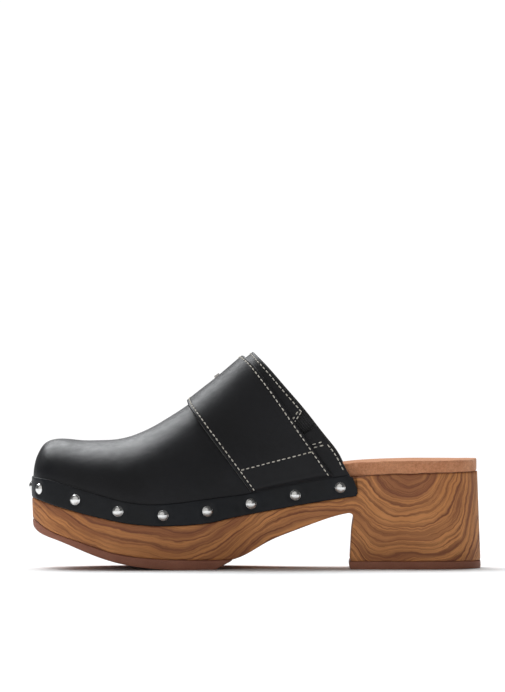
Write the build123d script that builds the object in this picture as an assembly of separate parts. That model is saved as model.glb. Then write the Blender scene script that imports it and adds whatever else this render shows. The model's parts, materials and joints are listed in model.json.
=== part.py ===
from build123d import *
import math
import os

# Wooden clog, right foot. Toe at -X, heel at +X, inner side of the foot at -Y, floor at Z = 0.
# All sizes are in millimetres.

RAND_THICK = 1.6
RAND_PROUD = 1.1
VAMP_THICK = 1.6
LINING_THICK = 1.4
PUFF_THICK = 0.6
STRAP_THICK = 2.4
MARGIN_THICK = 0.8
RAND_IN = RAND_PROUD - RAND_THICK
VAMP_BULGE = 0.3
HEEL_LEAN = 0.038
HEEL_LEAN_LEVEL = 45.0
TOP_PIECE_THICK = 4.4
FOOTBED_FRONT_THICK = 4.5
FOOTBED_FRONT_END = -120.5
COVER_THICK = 1.0
STUD_HEAD_DIA = 6.0
STUD_HEAD_HEIGHT = 1.7
STUD_NAIL_DIA = 1.6
STUD_NAIL_LENGTH = 11.0
STUD_PITCH = 25.3
STUDS_PER_SIDE = 8
NAIL_DIA = 1.8
NAIL_HEAD_DIA = 3.6

# Plan outline of the wood, inner side then outer side, as X and Y from toe to heel.
INNER_SIDE = [
    (-123.9, -4.0),
    (-120.4, -27.0),
    (-101.0, -40.8),
    (-77.0, -45.8),
    (-52.0, -44.5),
    (-26.0, -38.6),
    (-2.5, -32.6),
    (21.0, -29.2),
    (46.0, -28.8),
    (70.0, -30.2),
    (92.0, -30.8),
    (109.0, -27.0),
    (119.5, -16.5),
    (123.4, 0.0),
]
OUTER_SIDE = [
    (-123.9, -4.0),
    (-120.6, 17.0),
    (-108.0, 30.5),
    (-90.0, 39.0),
    (-70.0, 43.4),
    (-47.0, 45.0),
    (-25.0, 43.2),
    (0.0, 38.0),
    (25.0, 33.2),
    (48.0, 31.2),
    (72.0, 31.2),
    (92.0, 30.8),
    (109.0, 27.0),
    (119.5, 16.5),
    (123.4, 0.0),
]
OUTLINE_SAMPLES = 110

# Side heights as X and Z.
RIDGE = [
    (-124.2, 51.4),
    (-124.05, 54.6),
    (-123.5, 58.2),
    (-122.5, 61.8),
    (-120.8, 65.5),
    (-117.6, 69.6),
    (-114.0, 71.4),
    (-109.0, 72.1),
    (-98.0, 71.2),
    (-87.5, 71.1),
    (-77.4, 71.7),
    (-70.7, 73.2),
    (-64.1, 75.6),
    (-57.4, 78.8),
    (-50.7, 82.7),
    (-44.0, 86.9),
    (-38.0, 91.1),
    (-30.6, 96.9),
    (-24.0, 102.0),
    (-17.0, 107.7),
    (-10.0, 113.7),
    (-2.1, 120.3),
    (12.0, 131.0),
    (32.0, 143.0),
    (66.0, 156.0),
]
RAND_TOP = [
    (-134.0, 52.0),
    (-124.8, 51.3),
    (-113.3, 49.5),
    (-94.1, 43.7),
    (-74.9, 38.4),
    (-60.5, 36.5),
    (-46.1, 37.0),
    (-26.9, 39.4),
    (-3.1, 42.4),
    (18.2, 46.7),
    (41.6, 51.0),
    (53.0, 52.4),
    (66.0, 54.0),
]
RAND_BOTTOM = [
    (-134.0, 41.0),
    (-124.8, 39.9),
    (-113.3, 36.0),
    (-94.1, 30.7),
    (-74.9, 26.4),
    (-60.5, 24.7),
    (-46.1, 24.5),
    (-26.9, 25.9),
    (-12.5, 29.0),
    (15.4, 34.2),
    (35.0, 37.6),
    (55.8, 40.8),
]
WOOD_TOP = [
    (-134.0, 50.5),
    (-124.8, 49.8),
    (-113.3, 48.0),
    (-94.1, 42.2),
    (-74.9, 36.9),
    (-60.5, 35.0),
    (-46.1, 35.5),
    (-26.9, 37.9),
    (-3.1, 40.9),
    (18.2, 45.2),
    (41.6, 49.5),
    (56.0, 51.4),
    (90.0, 53.1),
    (134.0, 54.9),
]
TOE_SPRING = [
    (-134.0, 33.0),
    (-124.0, 27.7),
    (-115.4, 22.0),
    (-100.3, 16.2),
    (-89.1, 12.3),
    (-79.8, 9.4),
    (-66.0, 7.1),
    (-50.0, 5.8),
    (-37.0, 5.4),
    (-16.5, 5.4),
]
SHANK = [
    (-13.3, 5.5),
    (-7.2, 7.7),
    (6.2, 15.3),
    (19.6, 20.9),
    (32.9, 25.9),
    (46.3, 30.2),
    (51.0, 31.2),
]
OUTSOLE_BOTTOM = [
    (-134.0, 38.0),
    (-125.4, 27.0),
    (-123.7, 23.2),
    (-112.2, 16.8),
    (-97.5, 10.9),
    (-84.0, 5.8),
    (-71.3, 2.6),
    (-58.0, 0.7),
    (-47.3, 0.0),
]
TOPLINE = [
    (-2.1, 120.6),
    (6.2, 111.8),
    (16.2, 100.1),
    (26.3, 88.4),
    (39.6, 71.6),
    (46.3, 62.7),
    (50.5, 54.4),
    (52.1, 51.9),
]
STRAP_FRONT = [(-52.0, 114.0), (-38.4, 94.0), (-24.5, 71.5), (-10.3, 52.7), (-3.1, 42.8), (6.0, 28.0)]
STRAP_BACK = [(-22.0, 131.0), (-8.8, 118.5), (5.4, 103.2), (18.2, 85.4), (31.7, 67.0), (41.6, 52.0), (49.0, 38.0)]

# Strap line on the outer side: ridge crossing, direction down the side, and the tilt of the strap.
STRAP_ORIGIN_X = -22.5
STRAP_RISE = 0.804
STRAP_RUN = 0.595
STRAP_TILT = 6.0
STRAP_HALF = 19.4
BILLET_HALF = 10.0
CHAPE_HALF = 9.5
CHAPE_THICK = 1.6
FRONT_BAR_AT = 21.0
HINGE_BAR_AT = 43.0
HINGE_BAR_RADIUS = 1.4
HINGE_FIT = 0.1
HINGE_HEIGHT = 4.0
FRAME_HALF = 14.0
FRAME_WALL = 3.0
PRONG_WIDTH = 3.2
KEEPER_AT = 56.0
BILLET_END = 71.0


def curve_at(points, x):
    """Height of a smooth curve through the points at x."""
    last = len(points) - 1
    if x <= points[0][0]:
        return points[0][1]
    if x >= points[last][0]:
        return points[last][1]
    i = 0
    while points[i + 1][0] < x:
        i += 1

    def slope(j):
        a = points[max(j - 1, 0)]
        b = points[min(j + 1, last)]
        return (b[1] - a[1]) / (b[0] - a[0])

    h = points[i + 1][0] - points[i][0]
    t = (x - points[i][0]) / h
    a = (2 * t**3 - 3 * t**2 + 1) * points[i][1]
    b = (t**3 - 2 * t**2 + t) * h * slope(i)
    c = (3 * t**2 - 2 * t**3) * points[i + 1][1]
    d = (t**3 - t**2) * h * slope(i + 1)
    return a + b + c + d


def offset_curve(points, amount):
    """The curve moved outward (up and forward) along its own normals."""
    moved = []
    for i in range(len(points)):
        a = points[max(i - 1, 0)]
        b = points[min(i + 1, len(points) - 1)]
        dx = b[0] - a[0]
        dz = b[1] - a[1]
        size = math.hypot(dx, dz)
        moved.append((points[i][0] - amount * dz / size, points[i][1] + amount * dx / size))
    return moved


def plan_edge():
    points = INNER_SIDE + OUTER_SIDE[::-1][1:-1]
    return Spline(*points, periodic=True)


def plan_samples(amount, rear_amount=None):
    """Points round the plan, moved outward by an amount that may change behind the upper."""
    edge = plan_edge()
    out = []
    for i in range(OUTLINE_SAMPLES):
        u = i / OUTLINE_SAMPLES
        p = edge @ u
        t = edge % u
        side = amount
        if rear_amount is not None:
            blend = min(max((p.X - 56.0) / 8.0, 0.0), 1.0)
            side = amount + (rear_amount - amount) * blend * blend * (3 - 2 * blend)
        out.append((p.X - side * t.Y * TURN, p.Y + side * t.X * TURN))
    return out


def turn_sign():
    """+1 or -1, so that a positive amount is always outward."""
    edge = plan_edge()
    t = edge % 0.0
    p = edge @ 0.0
    return 1.0 if (p.X - t.Y) < p.X else -1.0


TURN = turn_sign()


def plan_prism(amount, low, high, rear_amount=None):
    wire = Wire([Spline(*plan_samples(amount, rear_amount), periodic=True)])
    face = Face(wire)
    return extrude(Pos(0, 0, low) * face, amount=high - low, dir=(0, 0, 1))


def leaning_prism(amount, low, high):
    """Plan prism whose heel end leans slightly backward toward the floor."""
    wire = Wire([Spline(*plan_samples(amount), periodic=True)])
    shift = HEEL_LEAN * (HEEL_LEAN_LEVEL - low)
    length = (high - low) * math.sqrt(1 + HEEL_LEAN**2)
    face = Pos(shift, 0, low) * Face(wire)
    return extrude(face, amount=length, dir=(-HEEL_LEAN, 0, 1))


def side_wire(points, closing):
    """Closed side outline: a smooth run through the points, then straight closing lines."""
    edges = [Spline(*[(x, 0, z) for x, z in points])]
    corners = [points[-1]] + closing + [points[0]]
    for a, b in zip(corners[:-1], corners[1:]):
        edges.append(Line((a[0], 0, a[1]), (b[0], 0, b[1])))
    return Wire(edges)


def side_prism(points, closing, near=-70.0, far=70.0):
    face = Face(side_wire(points, closing))
    return extrude(Pos(0, near, 0) * face, amount=far - near, dir=(0, 1, 0))


def side_polygon(points, near=-70.0, far=70.0):
    wire = Wire.make_polygon([(x, 0, z) for x, z in points], close=True)
    return extrude(Pos(0, near, 0) * Face(wire), amount=far - near, dir=(0, 1, 0))


def above(points, top=170.0):
    return side_prism(points, [(points[-1][0], top), (points[0][0], top)])


def below(points, bottom=-10.0):
    return side_prism(points, [(points[-1][0], bottom), (points[0][0], bottom)])


def half_width(samples, x, sign):
    """Plan edge Y on one side at x."""
    best = None
    count = len(samples)
    for i in range(count):
        a = samples[i]
        b = samples[(i + 1) % count]
        if (a[0] - x) * (b[0] - x) > 0 or a[0] == b[0]:
            continue
        y = a[1] + (b[1] - a[1]) * (x - a[0]) / (b[0] - a[0])
        if best is None or y * sign > best * sign:
            best = y
    return best


def arch_power(x):
    """How square the arch is: 2 is an ellipse."""
    blend = min(max((x + 70.0) / 60.0, 0.0), 1.0)
    return 2.15 + 0.15 * blend


def fine_samples(amount):
    """Closely spaced plan points, for the widths of the upper."""
    edge = Spline(*plan_samples(amount), periodic=True)
    count = 400
    return [((edge @ (i / count)).X, (edge @ (i / count)).Y) for i in range(count)]


def section_data(x, widths, ridge):
    inner = half_width(widths, x, -1)
    outer = half_width(widths, x, 1)
    base = curve_at(RAND_TOP, x)
    lean = 2.0 * min(max((x + 110.0) / 60.0, 0.0), 1.0)
    crown = (inner + outer) / 2 - lean
    return inner, outer, crown, base, curve_at(ridge, x) - base


def arch_wire(x, widths, ridge, floor=22.0):
    inner, outer, crown, base, rise = section_data(x, widths, ridge)
    power = 2.0 / arch_power(x)
    points = []
    steps = 14
    for i in range(steps + 1):
        angle = math.pi * i / steps
        reach = abs(math.cos(angle)) ** power
        height = math.sin(angle) ** power if 0 < i < steps else 0.0
        side = (inner - crown) if i < steps / 2 else (outer - crown)
        points.append((x, crown + side * reach, base + rise * height))
    arch = Spline(*points, tangents=[(0, 0, 1), (0, 0, -1)])
    first = points[0]
    last = points[-1]
    down = Line(last, (x, last[1], floor))
    across = Line((x, last[1], floor), (x, first[1], floor))
    up = Line((x, first[1], floor), first)
    return Wire([arch, down, across, up])


STATION_STEPS = [0.3, 1.0, 2.4, 4.6, 8, 12.5, 19, 28, 40, 54, 68, 82, 96, 110, 124, 140, 156, 172, 189]


def form(plan_amount, ridge_amount):
    """Solid under the upper's surface, moved outward by the two amounts."""
    ridge = offset_curve(RIDGE, ridge_amount)
    widths = fine_samples(plan_amount)
    apex = max(ridge[0][0], min(p[0] for p in widths))
    wires = [arch_wire(apex + step, widths, ridge) for step in STATION_STEPS]
    return Solid.make_loft(wires)


def rear_stop():
    """Everything in front of the rand's sloping rear end."""
    return side_polygon([(-140, 0), (-140, 80), (51.6, 80), (51.6, 52.6), (54.9, 47.0), (56.3, 44.4), (56.0, 0)])


def topline_keep():
    return side_prism(TOPLINE, [(52.1, 20.0), (-140.0, 20.0), (-140.0, 170.0), (-42.0, 170.0)])


def ring(outer, inner):
    """Band between two plan offsets and between the ledge and the top of the rand."""
    band = plan_prism(outer, 20, 60) - plan_prism(inner, 15, 65)
    band = band & above(RAND_BOTTOM)
    return band & below(RAND_TOP)


def wooden_sole():
    body = leaning_prism(0.0, -2.0, 60.0)
    body = body & below(WOOD_TOP)
    under = TOE_SPRING + SHANK
    edges = [
        Spline(*[(x, 0, z) for x, z in TOE_SPRING]),
        Line((-16.5, 0, 5.4), (-13.3, 0, 5.5)),
        Spline(*[(x, 0, z) for x, z in SHANK]),
        ThreePointArc((51.0, 0, 31.2), (53.1, 0, 30.7), (53.9, 0, 28.4)),
        Line((53.9, 0, 28.4), (52.9, 0, 21.5)),
        Line((52.9, 0, 21.5), (51.9, 0, TOP_PIECE_THICK)),
        Line((51.9, 0, TOP_PIECE_THICK), (140, 0, TOP_PIECE_THICK)),
        Line((140, 0, TOP_PIECE_THICK), (140, 0, 90)),
        Line((140, 0, 90), (-134, 0, 90)),
        Line((-134, 0, 90), (-134, 0, under[0][1])),
    ]
    keep = extrude(Pos(0, -70, 0) * Face(Wire(edges)), amount=140, dir=(0, 1, 0))
    body = body & keep
    rabbet = above(RAND_BOTTOM) - plan_prism(RAND_IN - VAMP_THICK, -15, 180)
    return body - rabbet


def forefoot_outsole():
    body = leaning_prism(0.0, -2.0, 60.0)
    edges = [
        Spline(*[(x, 0, z) for x, z in TOE_SPRING]),
        Line((-16.5, 0, 5.4), (-13.3, 0, 5.5)),
        Line((-13.3, 0, 5.5), (-14.2, 0, 4.6)),
        Spline((-14.2, 0, 4.6), (-17.8, 0, 2.7), (-22.8, 0, 0.0)),
        Line((-22.8, 0, 0), (-47.3, 0, 0)),
        Spline(*[(x, 0, z) for x, z in OUTSOLE_BOTTOM[::-1]]),
        Line((-134, 0, 38), (-134, 0, 33)),
    ]
    keep = extrude(Pos(0, -70, 0) * Face(Wire(edges)), amount=140, dir=(0, 1, 0))
    return body & keep


def heel_nail_places():
    """Seats of the top piece nails, in from the edge of the heel."""
    places = [(60.0, -19.0), (60.0, 19.0), (84.0, -22.0), (84.0, 22.0)]
    places += [(107.0, -16.0), (107.0, 16.0), (114.0, 0.0)]
    return places


def heel_top_piece():
    body = leaning_prism(0.0, -2.0, 60.0)
    edge = [(51.8, TOP_PIECE_THICK), (51.5, 1.5), (52.4, 0.0), (140, 0.0), (140, TOP_PIECE_THICK)]
    return body & side_polygon(edge)


def nail(x, y):
    seat = 1.6
    shank = Pos(x, y, seat) * Cylinder(NAIL_DIA / 2, 16.0, align=(Align.CENTER, Align.CENTER, Align.MIN))
    cap = Pos(x, y, seat) * Cylinder(NAIL_HEAD_DIA / 2, 1.0, align=(Align.CENTER, Align.CENTER, Align.MIN))
    return shank + cap


def nail_well(x, y):
    return Pos(x, y, 0) * Cylinder(NAIL_HEAD_DIA / 2, 1.6, align=(Align.CENTER, Align.CENTER, Align.MIN))


def footbed_blank(shrink, cut):
    """Footbed pad: full width behind the upper, narrow enough to slide inside it in front."""
    top = [(x, z + FOOTBED_FRONT_THICK - cut) for x, z in WOOD_TOP if x < 10]
    top += [(30.0, 53.8 - cut), (48.0, 58.6 - cut), (62.0, 60.0 - cut), (93.2, 60.7 - cut), (134.0, 62.2 - cut)]
    body = plan_prism(-3.5 - shrink, 20, 80, -0.7 - shrink)
    body = body & above(WOOD_TOP)
    front = FOOTBED_FRONT_END + shrink
    body = body & side_polygon([(front, 0), (front, 90), (140, 90), (140, 0)])
    return body & below(top)


def band_between(near=-70.0, far=70.0):
    edges = [
        Spline(*[(x, 0, z) for x, z in STRAP_FRONT]),
        Line((6.0, 0, 28.0), (49.0, 0, 38.0)),
        Spline(*[(x, 0, z) for x, z in STRAP_BACK[::-1]]),
        Line((-22.0, 0, 131.0), (-52.0, 0, 114.0)),
    ]
    return extrude(Pos(0, near, 0) * Face(Wire(edges)), amount=far - near, dir=(0, 1, 0))


class SideLine:
    """The line the strap follows down the outer side, with a height above the leather."""

    def __init__(self):
        self.widths = fine_samples(VAMP_BULGE)
        origin_z = curve_at(RIDGE, STRAP_ORIGIN_X)
        data = section_data(STRAP_ORIGIN_X, self.widths, RIDGE)
        self.origin = (STRAP_ORIGIN_X, data[2], origin_z)
        tilt = math.radians(STRAP_TILT)
        width = (STRAP_RISE * math.cos(tilt), -math.sin(tilt), STRAP_RUN * math.cos(tilt))
        across = (STRAP_RISE * math.sin(tilt), math.cos(tilt), STRAP_RUN * math.sin(tilt))
        self.plane = Plane(origin=self.origin, x_dir=across, z_dir=width)
        self.path = self.trace(across)

    def trace(self, across):
        """Points of the leather in the plane of the strap, with the run along them."""
        path = []
        steps = 60
        for i in range(steps + 1):
            s = 73.0 * (i / steps) ** 2
            p = 0.0
            for _ in range(6):
                x = self.origin[0] + STRAP_RUN * s + p * across[0]
                z = self.origin[2] - STRAP_RISE * s + p * across[2]
                y = self.side_y(x, z)
                p = (y - self.origin[1]) / across[1]
            path.append((p, -s))
        return path

    def side_y(self, x, z):
        inner, outer, crown, base, rise = section_data(x, self.widths, RIDGE)
        share = (z - base) / rise
        if share >= 1:
            return crown
        if share <= 0:
            return outer
        power = arch_power(x)
        return crown + (outer - crown) * (1 - share**power) ** (1 / power)

    def at(self, run, height):
        """In-plane point at a run from the ridge and a height above the leather."""
        done = 0.0
        for a, b in zip(self.path[:-1], self.path[1:]):
            step = math.dist(a, b)
            if done + step >= run or b is self.path[-1]:
                t = (run - done) / step
                tangent = self.tangent(a, b, t)
                p = a[0] + (b[0] - a[0]) * t
                q = a[1] + (b[1] - a[1]) * t
                return (p - tangent[1] * height, q + tangent[0] * height)
            done += step

    def tangent(self, a, b, t):
        """Direction down the side, smoothed over the neighbouring points."""
        i = self.path.index(a)
        before = self.path[max(i - 1, 0)]
        after = self.path[min(i + 2, len(self.path) - 1)]
        da = (b[0] - before[0], b[1] - before[1])
        db = (after[0] - a[0], after[1] - a[1])
        na = math.hypot(*da)
        nb = math.hypot(*db)
        t = min(max(t, 0.0), 1.0)
        dx = da[0] / na * (1 - t) + db[0] / nb * t
        dy = da[1] / na * (1 - t) + db[1] / nb * t
        size = math.hypot(dx, dy)
        return (dx / size, dy / size)

    def length(self):
        return sum(math.dist(a, b) for a, b in zip(self.path[:-1], self.path[1:]))

    def strip_face(self, low, high):
        """Face between two lists of run and height, both in the same order."""
        under = [self.at(run, height) for run, height in low]
        over = [self.at(run, height) for run, height in high]
        edges = [Spline(*under), Line(under[-1], over[-1]), Spline(*over[::-1]), Line(over[0], under[0])]
        return Face(Wire(edges))

    def solid(self, face, half, centre=0.0):
        """Face in the strap's plane, thickened to both sides across the strap."""
        placed = self.plane * Pos(0, 0, centre - half) * face
        return extrude(placed, amount=2 * half, dir=self.plane.z_dir)

    def strip(self, low, high, half):
        return self.solid(self.strip_face(low, high), half)

    def level_strip(self, start, end, low, high, half):
        count = max(int((end - start) / 4), 3)
        runs = [start + (end - start) * i / count for i in range(count + 1)]
        return self.strip([(r, low) for r in runs], [(r, high) for r in runs], half)


SIDE = SideLine()

BILLET_PATH = [
    (6.0, 0.1),
    (12.0, 0.2),
    (17.0, 0.3),
    (23.0, 0.6),
    (29.0, 2.4),
    (35.0, 5.0),
    (39.0, 6.7),
    (43.0, 7.5),
    (46.0, 6.9),
    (50.0, 5.1),
    (54.0, 4.2),
    (60.0, 3.9),
    (66.0, 3.9),
    (71.0, 3.9),
]


def hinge_centre():
    return SIDE.at(HINGE_BAR_AT, HINGE_HEIGHT)


def rod(centre, radius, half):
    face = Face(Wire([Edge.make_circle(radius)]))
    return SIDE.solid(Pos(centre[0], centre[1], 0) * face, half)


def normal_box(run, length, half, low=-1.0, high=13.0):
    """Box standing on the leather at a run from the ridge."""
    return SIDE.strip(
        [(run - length / 2, low), (run, low), (run + length / 2, low)],
        [(run - length / 2, high), (run, high), (run + length / 2, high)],
        half,
    )


def billet():
    over = [(run, height + STRAP_THICK) for run, height in BILLET_PATH]
    body = SIDE.strip(BILLET_PATH, over, BILLET_HALF)
    end = SIDE.at(BILLET_END - 9.0, 5.0)
    tail = normal_box(BILLET_END, 18.0, 12.0)
    round_face = SlotOverall(36.0, 2 * BILLET_HALF)
    tangent = SIDE.tangent(SIDE.path[-12], SIDE.path[-11], 0.0)
    flat = Plane(
        origin=SIDE.plane.from_local_coords((end[0], end[1], 0)),
        x_dir=SIDE.plane.from_local_coords((tangent[0], tangent[1], 0)) - Vector(*SIDE.origin),
        z_dir=SIDE.plane.from_local_coords((-tangent[1], tangent[0], 0)) - Vector(*SIDE.origin),
    )
    pointed = extrude(flat * Pos(-10.0, 0, -20) * round_face, amount=40)
    body = body - (tail - pointed)
    body = body - normal_box(42.2, 8.8, 2.2, 2.0, 13.0)
    for run in (59.5, 65.5):
        body = body - normal_box(run, 3.4, 1.7)
    return body


def strap_shell():
    return form(VAMP_BULGE + STRAP_THICK, STRAP_THICK) - FORM_OUTER


def crown_cut():
    """Across the top the strap keeps its full width, then shoulders in to the billet."""
    half = 30.0
    edge = [(-70.0, half), (4.0, half), (5.0, STRAP_HALF)]
    for i in range(9):
        share = (i + 1) / 9
        reach = (STRAP_HALF - BILLET_HALF) * (1 + math.cos(math.pi * share)) / 2
        edge.append((5.0 + 13.0 * share, BILLET_HALF + reach))
    edge.append((21.0, BILLET_HALF))
    points = edge + [(y, -side) for y, side in edge[::-1]]
    up = (-STRAP_RUN, 0, STRAP_RISE)
    plane = Plane(origin=SIDE.origin, x_dir=(0, 1, 0), z_dir=up)
    face = Face(Wire.make_polygon([(y, side, 0) for y, side in points], close=True))
    return extrude(plane * Pos(0, 0, -90) * face, amount=130, dir=up)


def instep_strap():
    body = strap_shell() & band_between()
    body = body & above(RAND_TOP)
    body = body & crown_cut()
    tuck = ring(RAND_IN + MARGIN_THICK, RAND_IN) & band_between(-70, 0)
    tail = billet() - FORM_OUTER
    return body + tuck + tail


def chape_band():
    """Side view of the lower chape, along the strap's centre line."""
    down = (STRAP_RUN, -STRAP_RISE)
    wide = (STRAP_RISE, STRAP_RUN)
    x = SIDE.origin[0]
    z = SIDE.origin[2]
    corners = []
    for run, side in ((52, -1), (92, -1), (92, 1), (52, 1)):
        corners.append((x + down[0] * run + side * CHAPE_HALF * wide[0], z + down[1] * run + side * CHAPE_HALF * wide[1]))
    return side_polygon(corners, 0, 70)


def buckle_chape():
    centre = hinge_centre()
    lower = SIDE.level_strip(HINGE_BAR_AT, SIDE.length() - 3.0, 0.9, 0.9 + CHAPE_THICK, CHAPE_HALF)
    wrap = rod(centre, HINGE_BAR_RADIUS + HINGE_FIT + CHAPE_THICK, CHAPE_HALF)
    low = [(42.5, 5.5), (44.0, 5.3), (46.0, 4.1), (48.0, 2.9), (50.0, 2.6), (52.4, 2.55)]
    high = [(42.5, 7.1), (44.2, 6.95), (47.0, 5.5), (49.0, 4.4), (50.6, 4.15), (52.4, 4.1)]
    upper = SIDE.strip(low, high, CHAPE_HALF)
    foot = (form(VAMP_BULGE + 2.5, 2.5) - FORM_OUTER) & chape_band() & above(RAND_TOP)
    foot = foot & below([(x, z + 9.0) for x, z in RAND_TOP])
    tuck = ring(RAND_IN + MARGIN_THICK, RAND_IN) & chape_band()
    lower = (lower & above(RAND_TOP)) - FORM_OUTER
    body = lower + wrap + upper + foot + tuck
    body = body - rod(centre, HINGE_BAR_RADIUS + HINGE_FIT, 20)
    gap = normal_box(HINGE_BAR_AT - 1.5, 12.5, 2.3, -1.0, 9.0)
    return body - gap


def buckle_frame():
    centre = hinge_centre()
    start = FRONT_BAR_AT - 1.5
    end = HINGE_BAR_AT + 2.6
    outer = SIDE.level_strip(start, end, 3.2, 5.8, FRAME_HALF)
    hole = SIDE.level_strip(FRONT_BAR_AT + 1.5, end + 4, -4, 14, FRAME_HALF - FRAME_WALL)
    body = outer - hole
    return body + rod(centre, HINGE_BAR_RADIUS, FRAME_HALF - 0.5)


def buckle_prong():
    centre = hinge_centre()
    eye = rod(centre, HINGE_BAR_RADIUS + HINGE_FIT + 1.2, PRONG_WIDTH / 2)
    low = [(41.2, 9.3), (38.5, 9.6), (35.0, 8.9), (30.0, 7.6), (25.0, 6.6), (FRONT_BAR_AT - 1.9, 6.0)]
    high = [(41.2, 11.4), (38.5, 11.6), (35.0, 10.9), (30.0, 9.7), (25.0, 8.6), (FRONT_BAR_AT - 1.9, 7.6)]
    tongue = SIDE.strip(low, high, PRONG_WIDTH / 2)
    join = SIDE.strip([(42.3, 6.0), (41.2, 11.4)], [(39.6, 6.0), (38.6, 10.4)], PRONG_WIDTH / 2)
    body = eye + join + tongue
    return body - rod(centre, HINGE_BAR_RADIUS + HINGE_FIT, 20)


def strap_keeper():
    start = KEEPER_AT - 3.0
    end = KEEPER_AT + 3.0
    outer = SIDE.level_strip(start, end, 2.6, 8.2, BILLET_HALF + 1.9)
    inner = SIDE.level_strip(start - 2, end + 2, 3.6, 7.0, BILLET_HALF + 0.5)
    return outer - inner


def stud_places():
    """Stud centres and outward directions, evenly spaced along both sides of the rand."""
    edge = Spline(*plan_samples(RAND_PROUD), periodic=True)
    fine = 1600
    places = []
    for sign in (1, -1):
        run = 0.0
        rise = 0.0
        wanted = 1
        last = edge @ 0.0
        last_z = rand_middle(last.X)
        for i in range(1, fine // 2):
            p = edge @ ((sign * i / fine) % 1.0)
            z = rand_middle(p.X)
            run += math.hypot((p - last).length, z - last_z)
            last = p
            last_z = z
            if run >= wanted * STUD_PITCH and wanted <= STUDS_PER_SIDE:
                places.append(stud_frame(edge, (sign * i / fine) % 1.0))
                wanted += 1
    places.append(stud_frame(edge, 0.0))
    return places


def rand_middle(x):
    return (curve_at(RAND_TOP, x) + curve_at(RAND_BOTTOM, x)) / 2


def stud_frame(edge, u):
    p = edge @ u
    t = edge % u
    outward = (-t.Y * TURN, t.X * TURN, 0)
    return Plane(origin=(p.X, p.Y, rand_middle(p.X)), x_dir=(0, 0, 1), z_dir=outward)


def stud(place):
    seat = 0.35
    radius = STUD_HEAD_DIA / 2
    ball = (radius**2 + STUD_HEAD_HEIGHT**2) / (2 * STUD_HEAD_HEIGHT)
    dome = Pos(0, 0, STUD_HEAD_HEIGHT - ball) * Sphere(ball)
    dome = dome & Cylinder(radius, STUD_HEAD_HEIGHT + 0.1, align=(Align.CENTER, Align.CENTER, Align.MIN))
    skirt = Cylinder(radius, seat, align=(Align.CENTER, Align.CENTER, Align.MAX))
    shank = Cylinder(STUD_NAIL_DIA / 2, STUD_NAIL_LENGTH, align=(Align.CENTER, Align.CENTER, Align.MAX))
    return place * (dome + skirt + shank)


def notch():
    return side_polygon([(28.1, 91.4), (13.0, 67.6), (12.6, 66.2), (14.0, 66.0), (37.1, 82.1)], -70, -5)


def gore_area():
    return side_polygon([(24.6, 97.0), (7.0, 69.0), (7.5, 59.8), (15.0, 59.6), (40.6, 77.6)], -70, -5)


def one_solid(shape):
    """The largest solid of a result, so that a stray sliver is never written."""
    solids = sorted(shape.solids(), key=lambda s: s.volume)
    return solids[-1]


FORM_OUTER = form(VAMP_BULGE, 0.0)
FORM_VAMP_IN = form(VAMP_BULGE - VAMP_THICK, -VAMP_THICK)
FORM_PUFF_IN = form(VAMP_BULGE - VAMP_THICK - PUFF_THICK, -VAMP_THICK - PUFF_THICK)
FORM_LINING_IN = form(VAMP_BULGE - VAMP_THICK - LINING_THICK, -VAMP_THICK - LINING_THICK)


def vamp():
    upper = (FORM_OUTER - FORM_VAMP_IN) & above(RAND_TOP)
    margin = ring(RAND_IN, RAND_IN - VAMP_THICK)
    body = (upper + margin) & topline_keep()
    return body - notch()


def vamp_lining():
    upper = (FORM_VAMP_IN - FORM_LINING_IN) & above(RAND_TOP)
    start = RAND_IN - VAMP_THICK
    band = plan_prism(start, 20, 60) - plan_prism(start - 1.2, 15, 65)
    band = band & above(WOOD_TOP) & below(RAND_TOP)
    body = (upper + band) & topline_keep()
    return body - gore_area() - toe_puff()


def toe_puff():
    body = (FORM_VAMP_IN - FORM_PUFF_IN) & above([(x, z + 0.8) for x, z in RAND_TOP])
    return body & side_polygon([(-140, 0), (-140, 120), (-84.0, 120), (-90.0, 0)])


def elastic_gore():
    body = (FORM_VAMP_IN - FORM_LINING_IN) & gore_area()
    return body & topline_keep()


def build():
    parts = {}
    studs = [stud(place) for place in stud_places()]
    nails = [nail(x, y) for x, y in heel_nail_places()]
    strap = instep_strap()
    chape = buckle_chape()
    rand = ring(RAND_PROUD, RAND_IN) & rear_stop()
    rand = rand - (ring(RAND_IN + MARGIN_THICK, RAND_IN - 0.2) & band_between(-70, 0))
    rand = rand - (ring(RAND_IN + MARGIN_THICK, RAND_IN - 0.2) & chape_band())
    upper = vamp()
    wood = wooden_sole()
    top_piece = heel_top_piece()
    wells = [nail_well(x, y) for x, y in heel_nail_places()]
    rand = rand - studs
    upper = upper - studs
    strap = strap - studs
    chape = chape - studs
    wood = wood - (studs + nails)
    top_piece = top_piece - (nails + wells)
    parts["wooden_sole"] = one_solid(wood)
    parts["forefoot_outsole"] = one_solid(forefoot_outsole())
    parts["heel_top_piece"] = one_solid(top_piece)
    parts["heel_top_piece_nails"] = Compound([one_solid(n) for n in nails])
    core = footbed_blank(COVER_THICK, COVER_THICK)
    parts["footbed_cushion"] = one_solid(core)
    parts["footbed_cover"] = one_solid(footbed_blank(0.0, 0.0) - core)
    parts["vamp"] = one_solid(upper)
    parts["vamp_lining"] = one_solid(vamp_lining())
    parts["toe_puff"] = one_solid(toe_puff())
    parts["elastic_gore"] = one_solid(elastic_gore())
    parts["rand"] = one_solid(rand)
    parts["rand_studs"] = Compound([one_solid(s) for s in studs])
    parts["instep_strap"] = one_solid(strap)
    parts["buckle_chape"] = one_solid(chape)
    parts["buckle_frame"] = one_solid(buckle_frame())
    parts["buckle_prong"] = one_solid(buckle_prong())
    parts["strap_keeper"] = one_solid(strap_keeper())
    return parts


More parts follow.
